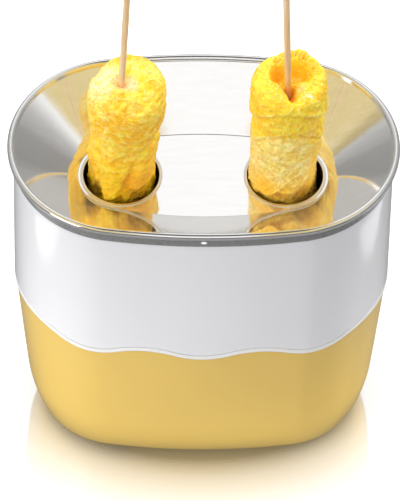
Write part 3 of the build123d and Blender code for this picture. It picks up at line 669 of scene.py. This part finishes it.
def steel_dish():
    """The pressed dish: flat with two holes, sloping wall and rolled rim."""
    bm = bmesh.new()
    made = []
    for rim, flat in zip(COLUMNS, FLAT_COLUMNS):
        made.append([bm.verts.new(point) for point in dish_column(rim, flat)])
    for here, there in paired(made):
        for a in range(len(here) - 1):
            bm.faces.new((here[a], there[a], there[a + 1], here[a + 1]))
    hole = TUBE_R + TUBE_WALL + SEAT_GAP
    rings = {-TUBE_X: [], TUBE_X: []}
    for level, row in ((FLAT_Z, 0), (FLAT_Z - SHEET, -1)):
        edges = [bm.edges.get((here[row], there[row])) for here, there in paired(made)]
        for x, loops in rings.items():
            points = [(x + hole * cos(turn), hole * sin(turn), level) for turn in LATHE_TURNS]
            loops.append([bm.verts.new(point) for point in points])
            edges += [bm.edges.new(pair) for pair in paired(loops[-1])]
        bmesh.ops.triangle_fill(bm, use_beauty=True, use_dissolve=False, edges=edges)
    for upper_loop, lower_loop in rings.values():
        for (a, b), (c, d) in zip(paired(upper_loop), paired(lower_loop)):
            bm.faces.new((a, b, d, c))
    obj = finished(bpy.data.meshes.new("dish_steel"), bm, [STEEL])
    return stand_for(obj, "steel_dish")


def upper_shell():
    """The white shell, with a soft rolled top edge and a lower edge that follows the wave."""
    low = SEAM_Z + 2 * SEAM_GAP + TRIM_HEIGHT
    high = SHELL_TOP - SHELL_EDGE
    inner = SHELL_INSET + CASING_WALL
    soft = 0.35 * MM
    rows = [(SHELL_INSET + soft, low, 1.0), (SHELL_INSET, low + soft, 1.0)]
    for step in range(1, 13):
        share = step / 12
        rows.append((SHELL_INSET, low + (high - low) * share, max(0.0, 1.0 - 2 * share)))
    rows += edge_rows(SHELL_INSET + SHELL_EDGE, high, SHELL_EDGE, 0, 90, 8)[1:]
    rows += [(inner, SHELL_TOP, 0.0), (inner, low, 1.0)]
    return casing("shell_upper_white", "upper_shell", rows, WHITE)


def seam_trim():
    """The light lip along the seam."""
    low = SEAM_Z + SEAM_GAP
    high = low + TRIM_HEIGHT
    inner = SHELL_INSET + TRIM_REACH
    rows = edge_rows(SHELL_INSET + TRIM_ROUND, low + TRIM_ROUND, TRIM_ROUND, -90, 0, 6, 1.0)
    rows += edge_rows(SHELL_INSET + SOFT_EDGE, high - SOFT_EDGE, SOFT_EDGE, 0, 90, 4, 1.0)
    rows += [(inner, high, 1.0), (inner, low, 1.0)]
    return casing("seam_lip_white", "seam_trim", rows, TRIM_WHITE)


def cut_round(obj, operation, start, end, radius, height):
    """Add or remove a round bar that runs from front to back through the middle of a piece."""
    bm = bmesh.new()
    bmesh.ops.create_cone(bm, cap_ends=True, segments=96, radius1=radius, radius2=radius, depth=end - start)
    mesh = bpy.data.meshes.new("bar")
    bm.to_mesh(mesh)
    bm.free()
    turn = Matrix.Rotation(radians(90), 4, "X")
    mesh.transform(Matrix.Translation((0, (start + end) / 2, height)) @ turn)
    bar = placed("bar", mesh)
    modifier = obj.modifiers.new("bar", "BOOLEAN")
    modifier.operation = operation
    modifier.solver = "EXACT"
    modifier.object = bar
    shaped = obj.evaluated_get(bpy.context.evaluated_depsgraph_get())
    result = bpy.data.meshes.new_from_object(shaped)
    obj.modifiers.clear()
    obj.data = result
    result.shade_smooth()
    result.set_sharp_from_angle(angle=SMOOTH_ANGLE)
    bpy.data.objects.remove(bar)


def lower_shell():
    """The yellow shell: taper, long side curve and turned-under base edge."""
    taper, turn = math.degrees(TAPER), math.degrees(TURN)
    centre_z = BASE_Z + BASE_EDGE * (1 - sin(TURN)) + SIDE_CURVE * sin(TURN)
    taper_z = centre_z - SIDE_CURVE * sin(TAPER)
    seam_inset = SHELL_INSET + SEAM_STEP
    slope = tan(TAPER)
    centre_inset = seam_inset + slope * (SEAM_Z - taper_z) + SIDE_CURVE * cos(TAPER)
    base_inset = centre_inset - SIDE_CURVE * cos(TURN) + BASE_EDGE * cos(TURN)
    rows = [(seam_inset + SOFT_EDGE, SEAM_Z, 1.0), (seam_inset, SEAM_Z - SOFT_EDGE, 1.0)]
    for step in range(1, 9):
        share = step / 9
        height = SEAM_Z + (taper_z - SEAM_Z) * share
        rows.append((seam_inset + slope * (SEAM_Z - height), height, max(0.0, 1.0 - 1.5 * share)))
    rows += edge_rows(centre_inset, centre_z, SIDE_CURVE, -taper, -turn, 14)
    rows += edge_rows(base_inset, BASE_Z + BASE_EDGE, BASE_EDGE, -turn, -90, 14)[1:]
    ring = base_inset + BASE_RING
    flange_low = BASE_Z + BASE_PLATE
    flange_top = flange_low + CASING_WALL
    rows += [(ring, BASE_Z, 0.0), (ring, flange_low, 0.0), (ring + FLANGE, flange_low, 0.0)]
    rows += [(ring + FLANGE, flange_top, 0.0), (base_inset, flange_top, 0.0)]
    rows += edge_rows(centre_inset, centre_z, SIDE_CURVE - CASING_WALL, -turn, -taper, 10)
    rows += [(seam_inset + CASING_WALL / cos(TAPER), SEAM_Z, 1.0)]
    obj = casing("shell_lower_yellow", "lower_shell", rows, YELLOW)
    low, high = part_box("cord_bush")
    middle = (low.z + high.z) / 2
    cut_round(obj, "UNION", low.y + BUSH_LIP, high.y - BUSH_LIP, BUSH_BOSS_R, middle)
    cut_round(obj, "DIFFERENCE", low.y - BUSH_LIP, high.y + BUSH_LIP, BUSH_HOLE_R, middle)
    return obj


def cooking_tube(side):
    """One deep cup with a rounded bright lip and a black inside."""
    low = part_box(f"cooking_tube_{NAMES[side]}")[0].z
    top = FLAT_Z + LIP_T
    outer = TUBE_R + TUBE_WALL
    floor = low + TUBE_FLOOR
    lip = LIP_T / 2.5
    soft = 0.15 * MM
    section = [(0.0, low)]
    section += arc((outer - TUBE_CORNER, low + TUBE_CORNER), TUBE_CORNER, -90, 0, 8)
    section += [(outer, FLAT_Z - 20 * MM), (outer, FLAT_Z), (LIP_R - soft, FLAT_Z), (LIP_R, FLAT_Z + soft)]
    section += arc((LIP_R - lip, top - lip), lip, 0, 90, 8)
    section += arc((TUBE_R + lip, top - lip), lip, 90, 180, 8)
    section += [(TUBE_R, top - 2.0 * MM), (TUBE_R, top - 20 * MM)]
    section += arc((TUBE_R - TUBE_CORNER, floor + TUBE_CORNER), TUBE_CORNER, 0, -90, 8)
    section += [(0.0, floor)]

    def inside(a, b):
        """Pick the coating for the faces below the lip's inner edge."""
        deep = max(a[1], b[1]) <= top - lip + 1e-6
        return 1 if deep and min(a[1], b[1]) >= floor - 1e-6 and max(a[0], b[0]) <= TUBE_R + 1e-6 else 0

    obj = lathe(f"tube_{NAMES[side]}", section, side * TUBE_X, [LIP_METAL, NONSTICK], inside)
    return stand_for(obj, f"cooking_tube_{NAMES[side]}")


def ease(low, high, value):
    """Ease from 0 to 1 between two values."""
    share = min(1.0, max(0.0, (value - low) / (high - low)))
    return share * share * (3 - 2 * share)


def profile_value(stops, position):
    """Read a smooth value between (position, value) stops."""
    for (a, va), (b, vb) in zip(stops, stops[1:]):
        if position <= b:
            return va + (vb - va) * ease(a, b, position)
    return stops[-1][1]


def hump(value, centre, width):
    """Give a soft bump of height 1 about a centre."""
    return math.exp(-(((value - centre) / width) ** 2))


def turn_gap(turn, centre):
    """Give the signed angle in degrees from a centre, the short way round."""
    return (math.degrees(turn) - centre + 180.0) % 360.0 - 180.0


def lobe(turn, centre, width):
    """Give a soft bump about a direction in degrees."""
    return hump(turn_gap(turn, centre), 0, width)


def wrinkle(x, y, z, size, seed):
    """Give a smooth random value between about -1 and 1, in lumps of a size in millimetres."""
    size *= MM
    return noise.noise(Vector((x / size + seed, y / size - seed, z / size + 2 * seed)))


def crease(x, y, z, size, seed):
    """Give sharp ridges between soft hollows, at most 1."""
    return 1.0 - abs(wrinkle(x, y, z, size, seed)) * 2.0


ROLL_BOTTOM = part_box("egg_roll_left")[0].z
ROLL_LIMIT = 17.6 * MM
MOUTH_Z = FLAT_Z + LIP_T
BORE = 1.75 * MM
STICK_R = 1.6 * MM
STICK_POINT = 9.0 * MM
STICK_LEAN = radians(2.1)
STICK_PIVOT_Z = ROLL_BOTTOM + 139.0 * MM
LEFT_SHOULDER = 219 * MM
CRATER_Z = 224 * MM


def skewer_x(side, z):
    """Give the place across the front of the leaning skewer's axis at a height."""
    return side * TUBE_X - side * (z - STICK_PIVOT_Z) * tan(STICK_LEAN)


def kept_in_tube(radius, z):
    """Hold a roll inside the bore below the mouth."""
    free = ease(MOUTH_Z - 1 * MM, MOUTH_Z + 4 * MM, z)
    return min(radius, ROLL_LIMIT + 3 * MM * free)


LEFT_SIDES = [
    (94, 9.0, 0.0), (96, 14.0, 0.0), (101, 16.8, 0.0), (115, 17.2, 0.0), (140, 16.9, 0.0),
    (158, 16.0, 0.0), (167, 15.6, 0.1), (177, 15.8, 0.3), (185, 16.1, 0.8), (191, 15.4, 1.3),
    (200, 14.7, 1.1), (205, 15.6, 1.4), (210, 17.0, 2.0), (219, 17.9, 2.5), (229, 17.7, 2.4),
]
RIGHT_SIDES = [
    (94, 9.0, 0.0), (96, 14.0, 0.0), (101, 16.8, 0.0), (115, 17.2, 0.0), (140, 16.8, -0.2),
    (161, 16.0, -0.5), (171, 16.0, -0.6), (181, 16.1, 0.0), (190, 16.2, 0.1), (200, 16.4, 0.2),
    (206, 16.0, 0.4), (211, 15.2, 0.6), (217, 15.9, 0.5), (240, 16.0, 0.5),
]


def side_at(sides, z):
    """Give a roll's radius and sideways drift at a height."""
    radius = profile_value([(height * MM, value * MM) for height, value, _ in sides], z)
    drift = profile_value([(height * MM, value * MM) for height, _, value in sides], z)
    return radius, drift


def egg_skin(px, py, z, seed, slope, strands):
    """Give the soft folds and fine wrinkles of cooked egg, outwards in metres."""
    across = z * cos(slope) + px * sin(slope)
    along = px * cos(slope) - z * sin(slope)
    folds = 0.5 * wrinkle(px, py, z * 0.6, 8, seed) + 0.3 * wrinkle(px, py, z, 3.6, seed + 5.6)
    folds += strands * 0.34 * crease(along * 0.35, py * 0.5, across, 1.9, seed + 2.2)
    folds += 0.62 * crease(px, py, z, 3.6, seed + 9.4) + 0.24 * wrinkle(px, py, z, 1.4, seed + 1.9)
    folds += 0.1 * wrinkle(px, py, z, 0.75, seed + 4.4)
    return folds * MM


def wall_height(shoulder, share):
    """Give the height of a row on the wall, with the rows closer together near the shoulder."""
    return ROLL_BOTTOM + (shoulder - ROLL_BOTTOM) * share**0.8


def calmed(folds, z, run, end):
    """Soften the folds inside the tube and let them fade out at both ends of the run."""
    folds *= 1.0 - 0.7 * ease(MOUTH_Z - 4 * MM, MOUTH_Z - 14 * MM, z)
    return folds * (ease(0.0, 0.05, run) * (1 - end))


def climb(low, high, z):
    """Ease from 0 to 1 between two heights in millimetres."""
    return ease(low * MM, high * MM, z)


def left_folds(turn, z, px, py):
    """Give the bright roll's lobes: a cut-back left side, a long middle lobe and a right lobe."""
    inner = climb(207, 196, z) * climb(140, 160, z)
    wander = 11.0 * wrinkle(0.0, 0.0, z, 8, 3.7)
    spread = climb(161, 190, z)
    left_groove, right_groove = 228 - 26 * spread + 0.6 * wander, 267 + 22 * spread + 0.6 * wander
    folds = -3.0 * lobe(turn, left_groove, 10) * inner * climb(194, 180, z)
    folds += -2.6 * lobe(turn, right_groove, 9) * inner * climb(196, 182, z)
    folds += -1.5 * lobe(turn, 345 - wander, 14) * inner
    folds += 1.0 * lobe(turn, 247, 14) * inner + 0.7 * lobe(turn, 306, 15) * inner
    cut = lobe(turn, 200, 32) * climb(186, 176, z) * inner
    folds -= 2.6 * cut * ease(-34, -20, -abs(turn_gap(turn, 200)))
    folds -= 2.8 * lobe(turn, 304, 26) * (climb(174, 167, z) * climb(150, 160, z))
    ledge = 202 * MM + 5 * MM * sin(turn + 0.9) + 1.5 * MM * wrinkle(px, py, 0.0, 6, 2.6)
    folds += 0.3 * hump(z, ledge, 2.4 * MM) - 0.5 * hump(z, ledge - 4.4 * MM, 2.0 * MM)
    pleat = 190 * MM + 3 * MM * cos(turn - 0.4)
    folds += 0.8 * hump(z, pleat, 3.0 * MM) * lobe(turn, 10, 40)
    return folds * MM


def left_surface(turn, run):
    """The bright roll: lobed below, waisted, swelling above to a full dome round the skewer."""
    wall_share = 0.66
    z = wall_height(LEFT_SHOULDER, min(1.0, run / wall_share))
    cap = max(0.0, (run - wall_share) / (1 - wall_share))
    radius, drift = side_at(LEFT_SIDES, z)
    angle = cap * pi / 2
    rise = 10.2 * MM + 0.8 * MM * cos(3 * turn + 1.0)
    rise += 7.6 * MM * max(0.0, cos(turn - radians(52)))
    rise += (13.4 * MM - rise) * ease(0.45, 0.95, cap)
    squareness = 2 / 3.6
    radius *= max(0.0, cos(angle)) ** squareness
    z += rise * sin(angle) ** squareness if cap else 0.0
    radius = max(radius, BORE)
    axis_x = skewer_x(-1, z)
    away = ease(0.3, 1.0, cap)
    centre_x = (-TUBE_X + drift) * (1 - away) + axis_x * away
    centre_y = 1.3 * MM * climb(200, 222, z) * (1 - away)
    cx, cy = cos(turn), sin(turn)
    px, py = cx * radius, cy * radius
    folds = egg_skin(px, py, z, 3.1, radians(24), 1.0 + 0.8 * hump(z, 203 * MM, 9 * MM))
    folds += left_folds(turn, z, px, py) * (1 - ease(0.0, 0.2, cap))
    folds = calmed(folds, z, run, ease(0.86, 1.0, cap))
    lean = angle * 0.9
    reach = radius + folds * cos(lean)
    if cap == 0:
        reach = kept_in_tube(reach, z)
    z += folds * sin(lean)
    from_stick = math.hypot(centre_x + reach * cx - axis_x, centre_y + reach * cy)
    z -= 2.6 * MM * hump(from_stick, 0.0, 3.0 * MM) - 0.8 * MM * hump(from_stick, 5.2 * MM, 1.8 * MM)
    return centre_x + reach * cx, centre_y + reach * cy, z


def right_layers(turn, z, px, py):
    """Give the pale roll's three overlapping layers and its flap, outwards in metres."""
    front = max(0.0, cos(turn - radians(272))) ** 1.5
    uneven = 1.0 * MM * wrinkle(px, py, 0.0, 7, 6.6) + 0.5 * MM * wrinkle(px, py, 0.0, 2.5, 1.2)
    collar = 213.5 * MM + 15.5 * MM * front + uneven
    second = 199.5 * MM + 12.5 * MM * front - 1.7 * uneven + 1.6 * MM * sin(3 * turn)
    folds = 1.0 * ease(collar - 0.5 * MM, collar + 0.9 * MM, z)
    folds += 0.35 * hump(z, collar + 2.2 * MM, 1.6 * MM) - 1.2 * hump(z, collar - 1.6 * MM, 2.2 * MM)
    folds += 0.65 * ease(second - 0.3 * MM, second + 0.5 * MM, z)
    folds -= 0.45 * hump(z, second - 1.0 * MM, 1.2 * MM)
    gap = turn_gap(turn, 242)
    edge = 168 * MM + 16 * MM * ease(-4, 52, gap) + 12 * MM * ease(50, 120, gap)
    edge += 0.8 * MM * wrinkle(px, py, 0.0, 4, 8.8)
    across = ease(-34, -12, gap) * ease(150, 110, gap)
    folds -= across * 1.7 * ease(edge + 0.3 * MM, edge - 0.4 * MM, z)
    folds += across * (0.8 * hump(z, edge + 1.0 * MM, 0.9 * MM) - 1.5 * hump(z, edge - 1.3 * MM, 1.3 * MM))
    return folds * MM


def crater_floor(x, y):
    """Give the height of the crater's floor in millimetres at a place beside the stick."""

    def spot(middle_x, middle_y, width):
        """Give a soft round spot."""
        return math.exp(-((x - middle_x) ** 2 + (y - middle_y) ** 2) / width**2)

    level = 230.2 - 6.0 * spot(-6.0, 6.5, 4.6) - 4.5 * spot(6.5, 7.0, 4.4) - 3.0 * spot(0.0, 6.0, 4.0)
    level += 4.6 * spot(-6.2, -3.0, 3.6) + 4.4 * spot(7.0, -1.8, 3.8) - 5.0 * spot(0.0, 0.0, 2.6)
    cleft = math.exp(-(((x - 0.9) / 2.0) ** 2)) * ease(3.0, -2.0, y)
    level -= 5.5 * cleft
    level += 0.9 * noise.noise(Vector((x / 2.6, y / 2.6, 4.1))) + 0.5 * noise.noise(Vector((x, y, 8.3)))
    return level


def right_surface(turn, run):
    """The pale roll: a heavy bright collar round an open crater, and overlapping skins lower down."""
    wall_share, lip_share = 0.6, 0.78
    rim_z = 235.2 * MM + 3.0 * MM * lobe(turn, 72, 17) + 0.8 * MM * sin(2 * turn + 0.3)
    shoulder = rim_z - 6.0 * MM
    cx, cy = cos(turn), sin(turn)
    mouth_x, mouth_y, mouth_r = 0.9 * MM, 2.3 * MM, 11.0 * MM
    z = wall_height(shoulder, min(1.0, run / wall_share))
    lip = min(1.0, max(0.0, (run - wall_share) / (lip_share - wall_share)))
    inward = max(0.0, (run - lip_share) / (1 - lip_share))
    radius, drift = side_at(RIGHT_SIDES, z)
    x, y = outer_x, outer_y = TUBE_X + drift + radius * cx, radius * cy
    if lip > 0.0:
        across = 1 - cos(lip * pi / 2)
        x += (TUBE_X + drift + mouth_x + mouth_r * cx - x) * across
        y += (mouth_y + mouth_r * cy - y) * across
        z = shoulder + (rim_z - shoulder) * sin(lip * pi / 2) ** 0.8
        z += 0.9 * MM * sin(lip * pi) - 7.0 * MM * lobe(turn, 274, 15) * lip**2.5
        torn = 1.7 * wrinkle(outer_x, outer_y, 0.0, 3.0, 7.7)
        torn += 1.5 * wrinkle(outer_x, outer_y, lip * 2 * MM, 1.1, 3.3)
        torn *= 1 - ease(0.0, 0.12, inward)
        z += torn * MM * lip**2 * (0.35 + 1.1 * lobe(turn, 72, 55))
    if inward > 0.0:
        axis_x = skewer_x(1, CRATER_Z)
        x = axis_x + (x - axis_x) * (1 - inward) + BORE * 0.9 * inward * cx
        y = y * (1 - inward) + BORE * 0.9 * inward * cy
        z += (crater_floor((x - axis_x) / MM, y / MM) * MM - z) * ease(0.0, 0.42, inward)
    lean = lip * pi / 2 * 0.95
    folds = egg_skin(x - TUBE_X, y, z, 12.4, radians(-14), 0.7 * (1 - lip))
    folds += right_layers(turn, z, x - TUBE_X, y) * (1 - ease(0.3, 1.0, lip))
    folds = calmed(folds, z, run, ease(0.8, 1.0, inward))
    if lip == 0.0:
        reach = kept_in_tube(radius + folds, z)
        return TUBE_X + drift + reach * cx, reach * cy, z
    return x + folds * cos(lean) * cx, y + folds * cos(lean) * cy, z + folds * sin(lean)


def egg_roll(side, rows, surface, material):
    """One roll, built from its surface function."""
    obj = rod(f"roll_{NAMES[side]}", rows, 240, surface, material, radians(180))
    return stand_for(obj, f"egg_roll_{NAMES[side]}", f"{NAMES[side]}_roll")


def skewer(side):
    """One bamboo stick, slightly uneven along its length, with its point in the roll."""
    name = NAMES[side]
    low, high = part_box(f"skewer_{name}")
    length = (high.z - low.z) / cos(STICK_LEAN)

    def stick_point(turn, share):
        """Give a point of the stick's skin."""
        along = length * share
        taper = 0.25 + 0.75 * min(1.0, along / STICK_POINT)
        waver = wrinkle(cos(turn) * MM, sin(turn) * MM, along, 14, 2.0 + side)
        uneven = 1.0 - 0.05 * (0.5 + 0.5 * waver)
        end_round = 1.0 - 0.18 * ease(0.993, 1.0, share)
        radius = STICK_R * taper * uneven * end_round
        return radius * cos(turn), radius * sin(turn), along

    obj = rod(f"stick_{name}", 90, 24, stick_point, BAMBOO)
    lean = Matrix.Rotation(-side * STICK_LEAN, 4, "Y")
    obj.data.transform(Matrix.Translation((skewer_x(side, low.z), 0, low.z)) @ lean)
    return stand_for(obj, f"skewer_{name}", f"{name}_roll")


def finish_nodes():
    """Give every carried-over CAD node its material, found by a part of the node's name."""
    finishes = {
        "_wire": moulded("wire_sleeve", (0.66, 0.65, 0.58), 0.7, 0.85, 2500.0, 0.12),
        "rim_band": moulded("band_grey_satin", (0.2, 0.2, 0.198), 0.24, 0.34, 900.0, 0.006, 0.2, 0.05),
        "base_plate": moulded("base_grey_grained", (0.24, 0.235, 0.225), 0.5, 0.65, 1500.0, 0.05, 0, 0.06, 4),
        "foot_": moulded("foot_rubber_black", (0.03, 0.03, 0.03), 0.7, 0.85, 1200.0, 0.05, 0, 0.15, 4),
        "cord_bush": moulded("bush_grey_matte", (0.16, 0.16, 0.155), 0.45, 0.6, 1200.0, 0.03),
        "indicator_lens": window_glass(),
        "indicator_lamp": moulded("lamp_milky", (0.85, 0.83, 0.75), 0.2, 0.3),
        "tube_gasket": moulded("silicone_pale", (0.6, 0.57, 0.5), 0.5, 0.65),
        "thermostat": moulded("phenolic_black", (0.035, 0.033, 0.03), 0.35, 0.5),
        "thermal_fuse": moulded("ceramic_cream", (0.68, 0.64, 0.54), 0.5, 0.7),
        "terminal_block": moulded("block_offwhite", (0.75, 0.73, 0.67), 0.4, 0.55),
        "tie_rods _nuts clamp_screws": metal("zinc_plate", (0.62, 0.62, 0.58), 0.25, 0.45, EVEN, 300.0, 0.1),
        "heater_deck fuse_clip": metal("deck_galvanised", (0.55, 0.56, 0.56), 0.35, 0.6, EVEN, 120.0, 0.18),
        "heater_band": metal("heater_tinted_steel", (0.5, 0.45, 0.36), 0.3, 0.5, (1, 1, 6), 150.0, 0.15),
        "shield": metal("shield_bright", (0.8, 0.8, 0.8), 0.12, 0.25, (1, 1, 20), 200.0, 0.05),
        "tube_ring_nut": metal("ring_nut_turned", (0.7, 0.7, 0.69), 0.2, 0.35, (1, 1, 30), 300.0, 0.06),
        "terminal_screws": metal("screw_brass", (0.78, 0.58, 0.25), 0.2, 0.35, EVEN, 500.0, 0.1),
    }
    for name, node in nodes.items():
        fitting = [finish for parts, finish in finishes.items() if any(p in name for p in parts.split())]
        if fitting:
            node.data.materials.clear()
            node.data.materials.append(fitting[0])
            node.data.shade_smooth()
            node.data.set_sharp_from_angle(angle=radians(30))


def camera():
    """Stand the camera where the photograph was taken from."""
    data = bpy.data.cameras.new("photo_camera")
    data.sensor_fit = "VERTICAL"
    data.sensor_height = 36.0
    focal_pixels = 6783.5
    frame_height = 500
    data.lens = data.sensor_height * focal_pixels / frame_height
    data.clip_end = 50.0
    place = Vector((-40.9, -2056.2, 2648.2)) * MM
    pitch, yaw, roll = (radians(a) for a in (51.0, 1.172, 1.2))
    turn = Matrix.Rotation(-yaw, 4, "Z") @ Matrix.Rotation(pi / 2 - pitch, 4, "X")
    obj = placed("photo_camera", data)
    obj.matrix_world = Matrix.Translation(place) @ turn @ Matrix.Rotation(roll, 4, "Z")
    bpy.context.scene.camera = obj


def key_light():
    """One soft box to the front left that faces the object."""
    data = bpy.data.lights.new("key_left", "AREA")
    data.size = 0.22
    data.energy = 0.38
    place, aim = Vector((-0.38, -0.32, 0.32)), Vector((-0.05, 0, 0.1))
    obj = placed("key_left", data)
    obj.matrix_world = Matrix.Translation(place) @ (aim - place).to_track_quat("-Z", "Y").to_matrix().to_4x4()
    obj.visible_camera = False


def surroundings():
    """White overhead, with a soft dark flag low on each side and a warm bounce card high on each side."""
    world = bpy.data.worlds.new("studio")
    bpy.context.scene.world = world
    sky = Graph(world, "Generated")
    x, y, z = (sky.axis(name) for name in "XYZ")
    sideways = abs(x)
    clear = [(0.0, 0.16), (0.05, 0.3), (0.16, 0.46), (0.28, 0.68), (0.37, 0.8), (0.5, 1.03), (1.0, 1.13)]
    flagged = [
        (0.0, 0.36), (0.1, 0.34), (0.22, 0.25), (0.42, 0.28), (0.5, 0.4), (0.56, 0.48),
        (0.61, 0.66), (0.66, 0.95), (0.72, 1.05),
    ]
    filling = [(0.0, 0.44), (0.2, 0.66), (0.5, 1.34), (0.75, 1.88), (1.0, 2.1)]
    level = z + x.step(-0.2, -0.5) * 0.06
    seen = sideways.step(0.22, 0.6).mix(z.ramp(clear), level.ramp(flagged))
    shake = (sky.noise(9.0, 5.0, 0.5) - 0.5) * 0.05
    edge = y * -0.3 + sideways + shake + x.step(-0.1, 0.1) * 0.016
    reach = y - x.step(0.1, -0.1) * 0.14
    card = sideways.step(0.1, 0.16) * edge.step(0.749, 0.732) * reach.step(0.22, 0.12) * z.step(0.4, 0.5)
    seen = card.mix(seen, (0.74, 0.59, 0.275), "MULTIPLY")
    behind = sideways.step(0.1, 0.2) * y.step(0.15, 0.27) * z.step(0.56, 0.62)
    seen = behind.mix(seen, 0.5, "MULTIPLY")
    boom = abs(y - 0.06).step(0.48, 0.4) * sideways.step(0.24, 0.12) * z.step(0.3, 0.5)
    seen = (boom * 0.95).mix(seen, 0.02)
    low_front = y.step(-0.45, -0.65) * z.step(0.5, 0.35)
    seen = (low_front * 0.85).mix(seen, 0.05)
    dim = (x * 0.6 + y * -0.8).step(-0.1, 0.75) * z.step(0.95, 0.5)
    soft = (dim * 0.92).mix(z.ramp(filling), 0.0)
    for across, along, low, share, grey in (
        (-0.75, -0.66, 0.45, 0.18, 2.4), (0.9, 0.43, 0.5, 0.6, 3.4),
    ):
        toward = x * across + y * along
        soft = (toward.step(low, 1.0) * share).mix(soft, grey)
    depth = sky.out(sky.add("LightPath"), "Diffuse Depth")
    colour = sky.math("GREATER_THAN", depth, 0.5).mix(seen, soft)
    sky.fill(sky.nodes["Background"], Strength=1.0, Color=colour)


def floor_material():
    """White floor with a mirror sheen beside the object that fades out with distance."""
    paint = Paint("floor_white", Base_Color=0.93, Roughness=0.6, Emission_Color=1.0, Emission_Strength=0.32)

    def blend(amount, first, second):
        """Blend two shaders."""
        node = paint.add("MixShader", Fac=amount)
        paint.feed(node.inputs[1], first)
        paint.feed(node.inputs[2], second)
        return paint.out(node, "Shader")

    gloss = paint.out(paint.add("BsdfGlossy", Roughness=0.07), "BSDF")
    fade = [(0.0, 0.9), (0.44, 0.88), (0.56, 0.56), (0.74, 0.28), (1.0, 0.0)]
    amount = paint.stretched((0.62, 1.0, 1.0)).length().fit(0.0, 1.0, 0.0, 0.1).ramp(fade)
    sheen = blend(amount, paint.out(paint.shader, "BSDF"), gloss)
    path = paint.add("LightPath")
    diffuse, glossy = (paint.out(path, f"Is {kind} Ray") for kind in ("Diffuse", "Glossy"))
    filled, glints = 0.8, 0.15
    for spot in (
        ((-200, -120, 0), (90, 120, 50), 4.2, 0.5), ((-120, -200, 0), (90, 90, 50), 3.4, 0.5),
        ((170, 15, 0), (60, 95, 50), 10.5, 0.4), ((0, -70, 0), (180, 110, 50), 0.6, 0.3),
        ((0, -86, 0), (130, 30, 50), 0.7, 0.5), ((142, -46, 0), (36, 44, 50), 4.0, 0.6),
        ((-112, -66, 0), (34, 36, 50), 1.5, 0.6),
    ):
        filled = paint.patch(*spot) + filled
    filled = filled * (1.0 - paint.patch((0, 0, 0), (96, 64, 50), 0.75, 0.75))
    for spot in (((-215, -50, 0), (24, 62, 50), 1.2, 0.8), ((212, 12, 0), (26, 66, 50), 1.2, 0.6)):
        glints = paint.patch(*spot) + glints
    dull = paint.out(paint.add("Emission", Strength=filled * diffuse + glints * glossy), "Emission")
    mirrored = blend((glossy + diffuse) * 0.9, sheen, dull)
    paint.fill(paint.nodes["Material Output"], Surface=mirrored)
    return paint.material


def studio():
    """A pale glossy floor in white surroundings, with one soft box to the front left."""
    surroundings()
    key_light()
    mesh = bpy.data.meshes.new("floor")
    reach = 12.0
    corners = [(-reach, -reach, 0), (reach, -reach, 0), (reach, reach, 0), (-reach, reach, 0)]
    mesh.from_pydata(corners, [], [(0, 1, 2, 3)])
    mesh.materials.append(floor_material())
    floor = placed("floor", mesh)


camera()
studio()
finish_nodes()
steel_dish()
upper_shell()
seam_trim()
lower_shell()
for tube_side in (-1, 1):
    cooking_tube(tube_side)
    skewer(tube_side)
egg_roll(-1, 300, left_surface, EGG_LEFT)
egg_roll(1, 320, right_surface, EGG_RIGHT)

bpy.context.scene.view_settings.view_transform = "Standard"
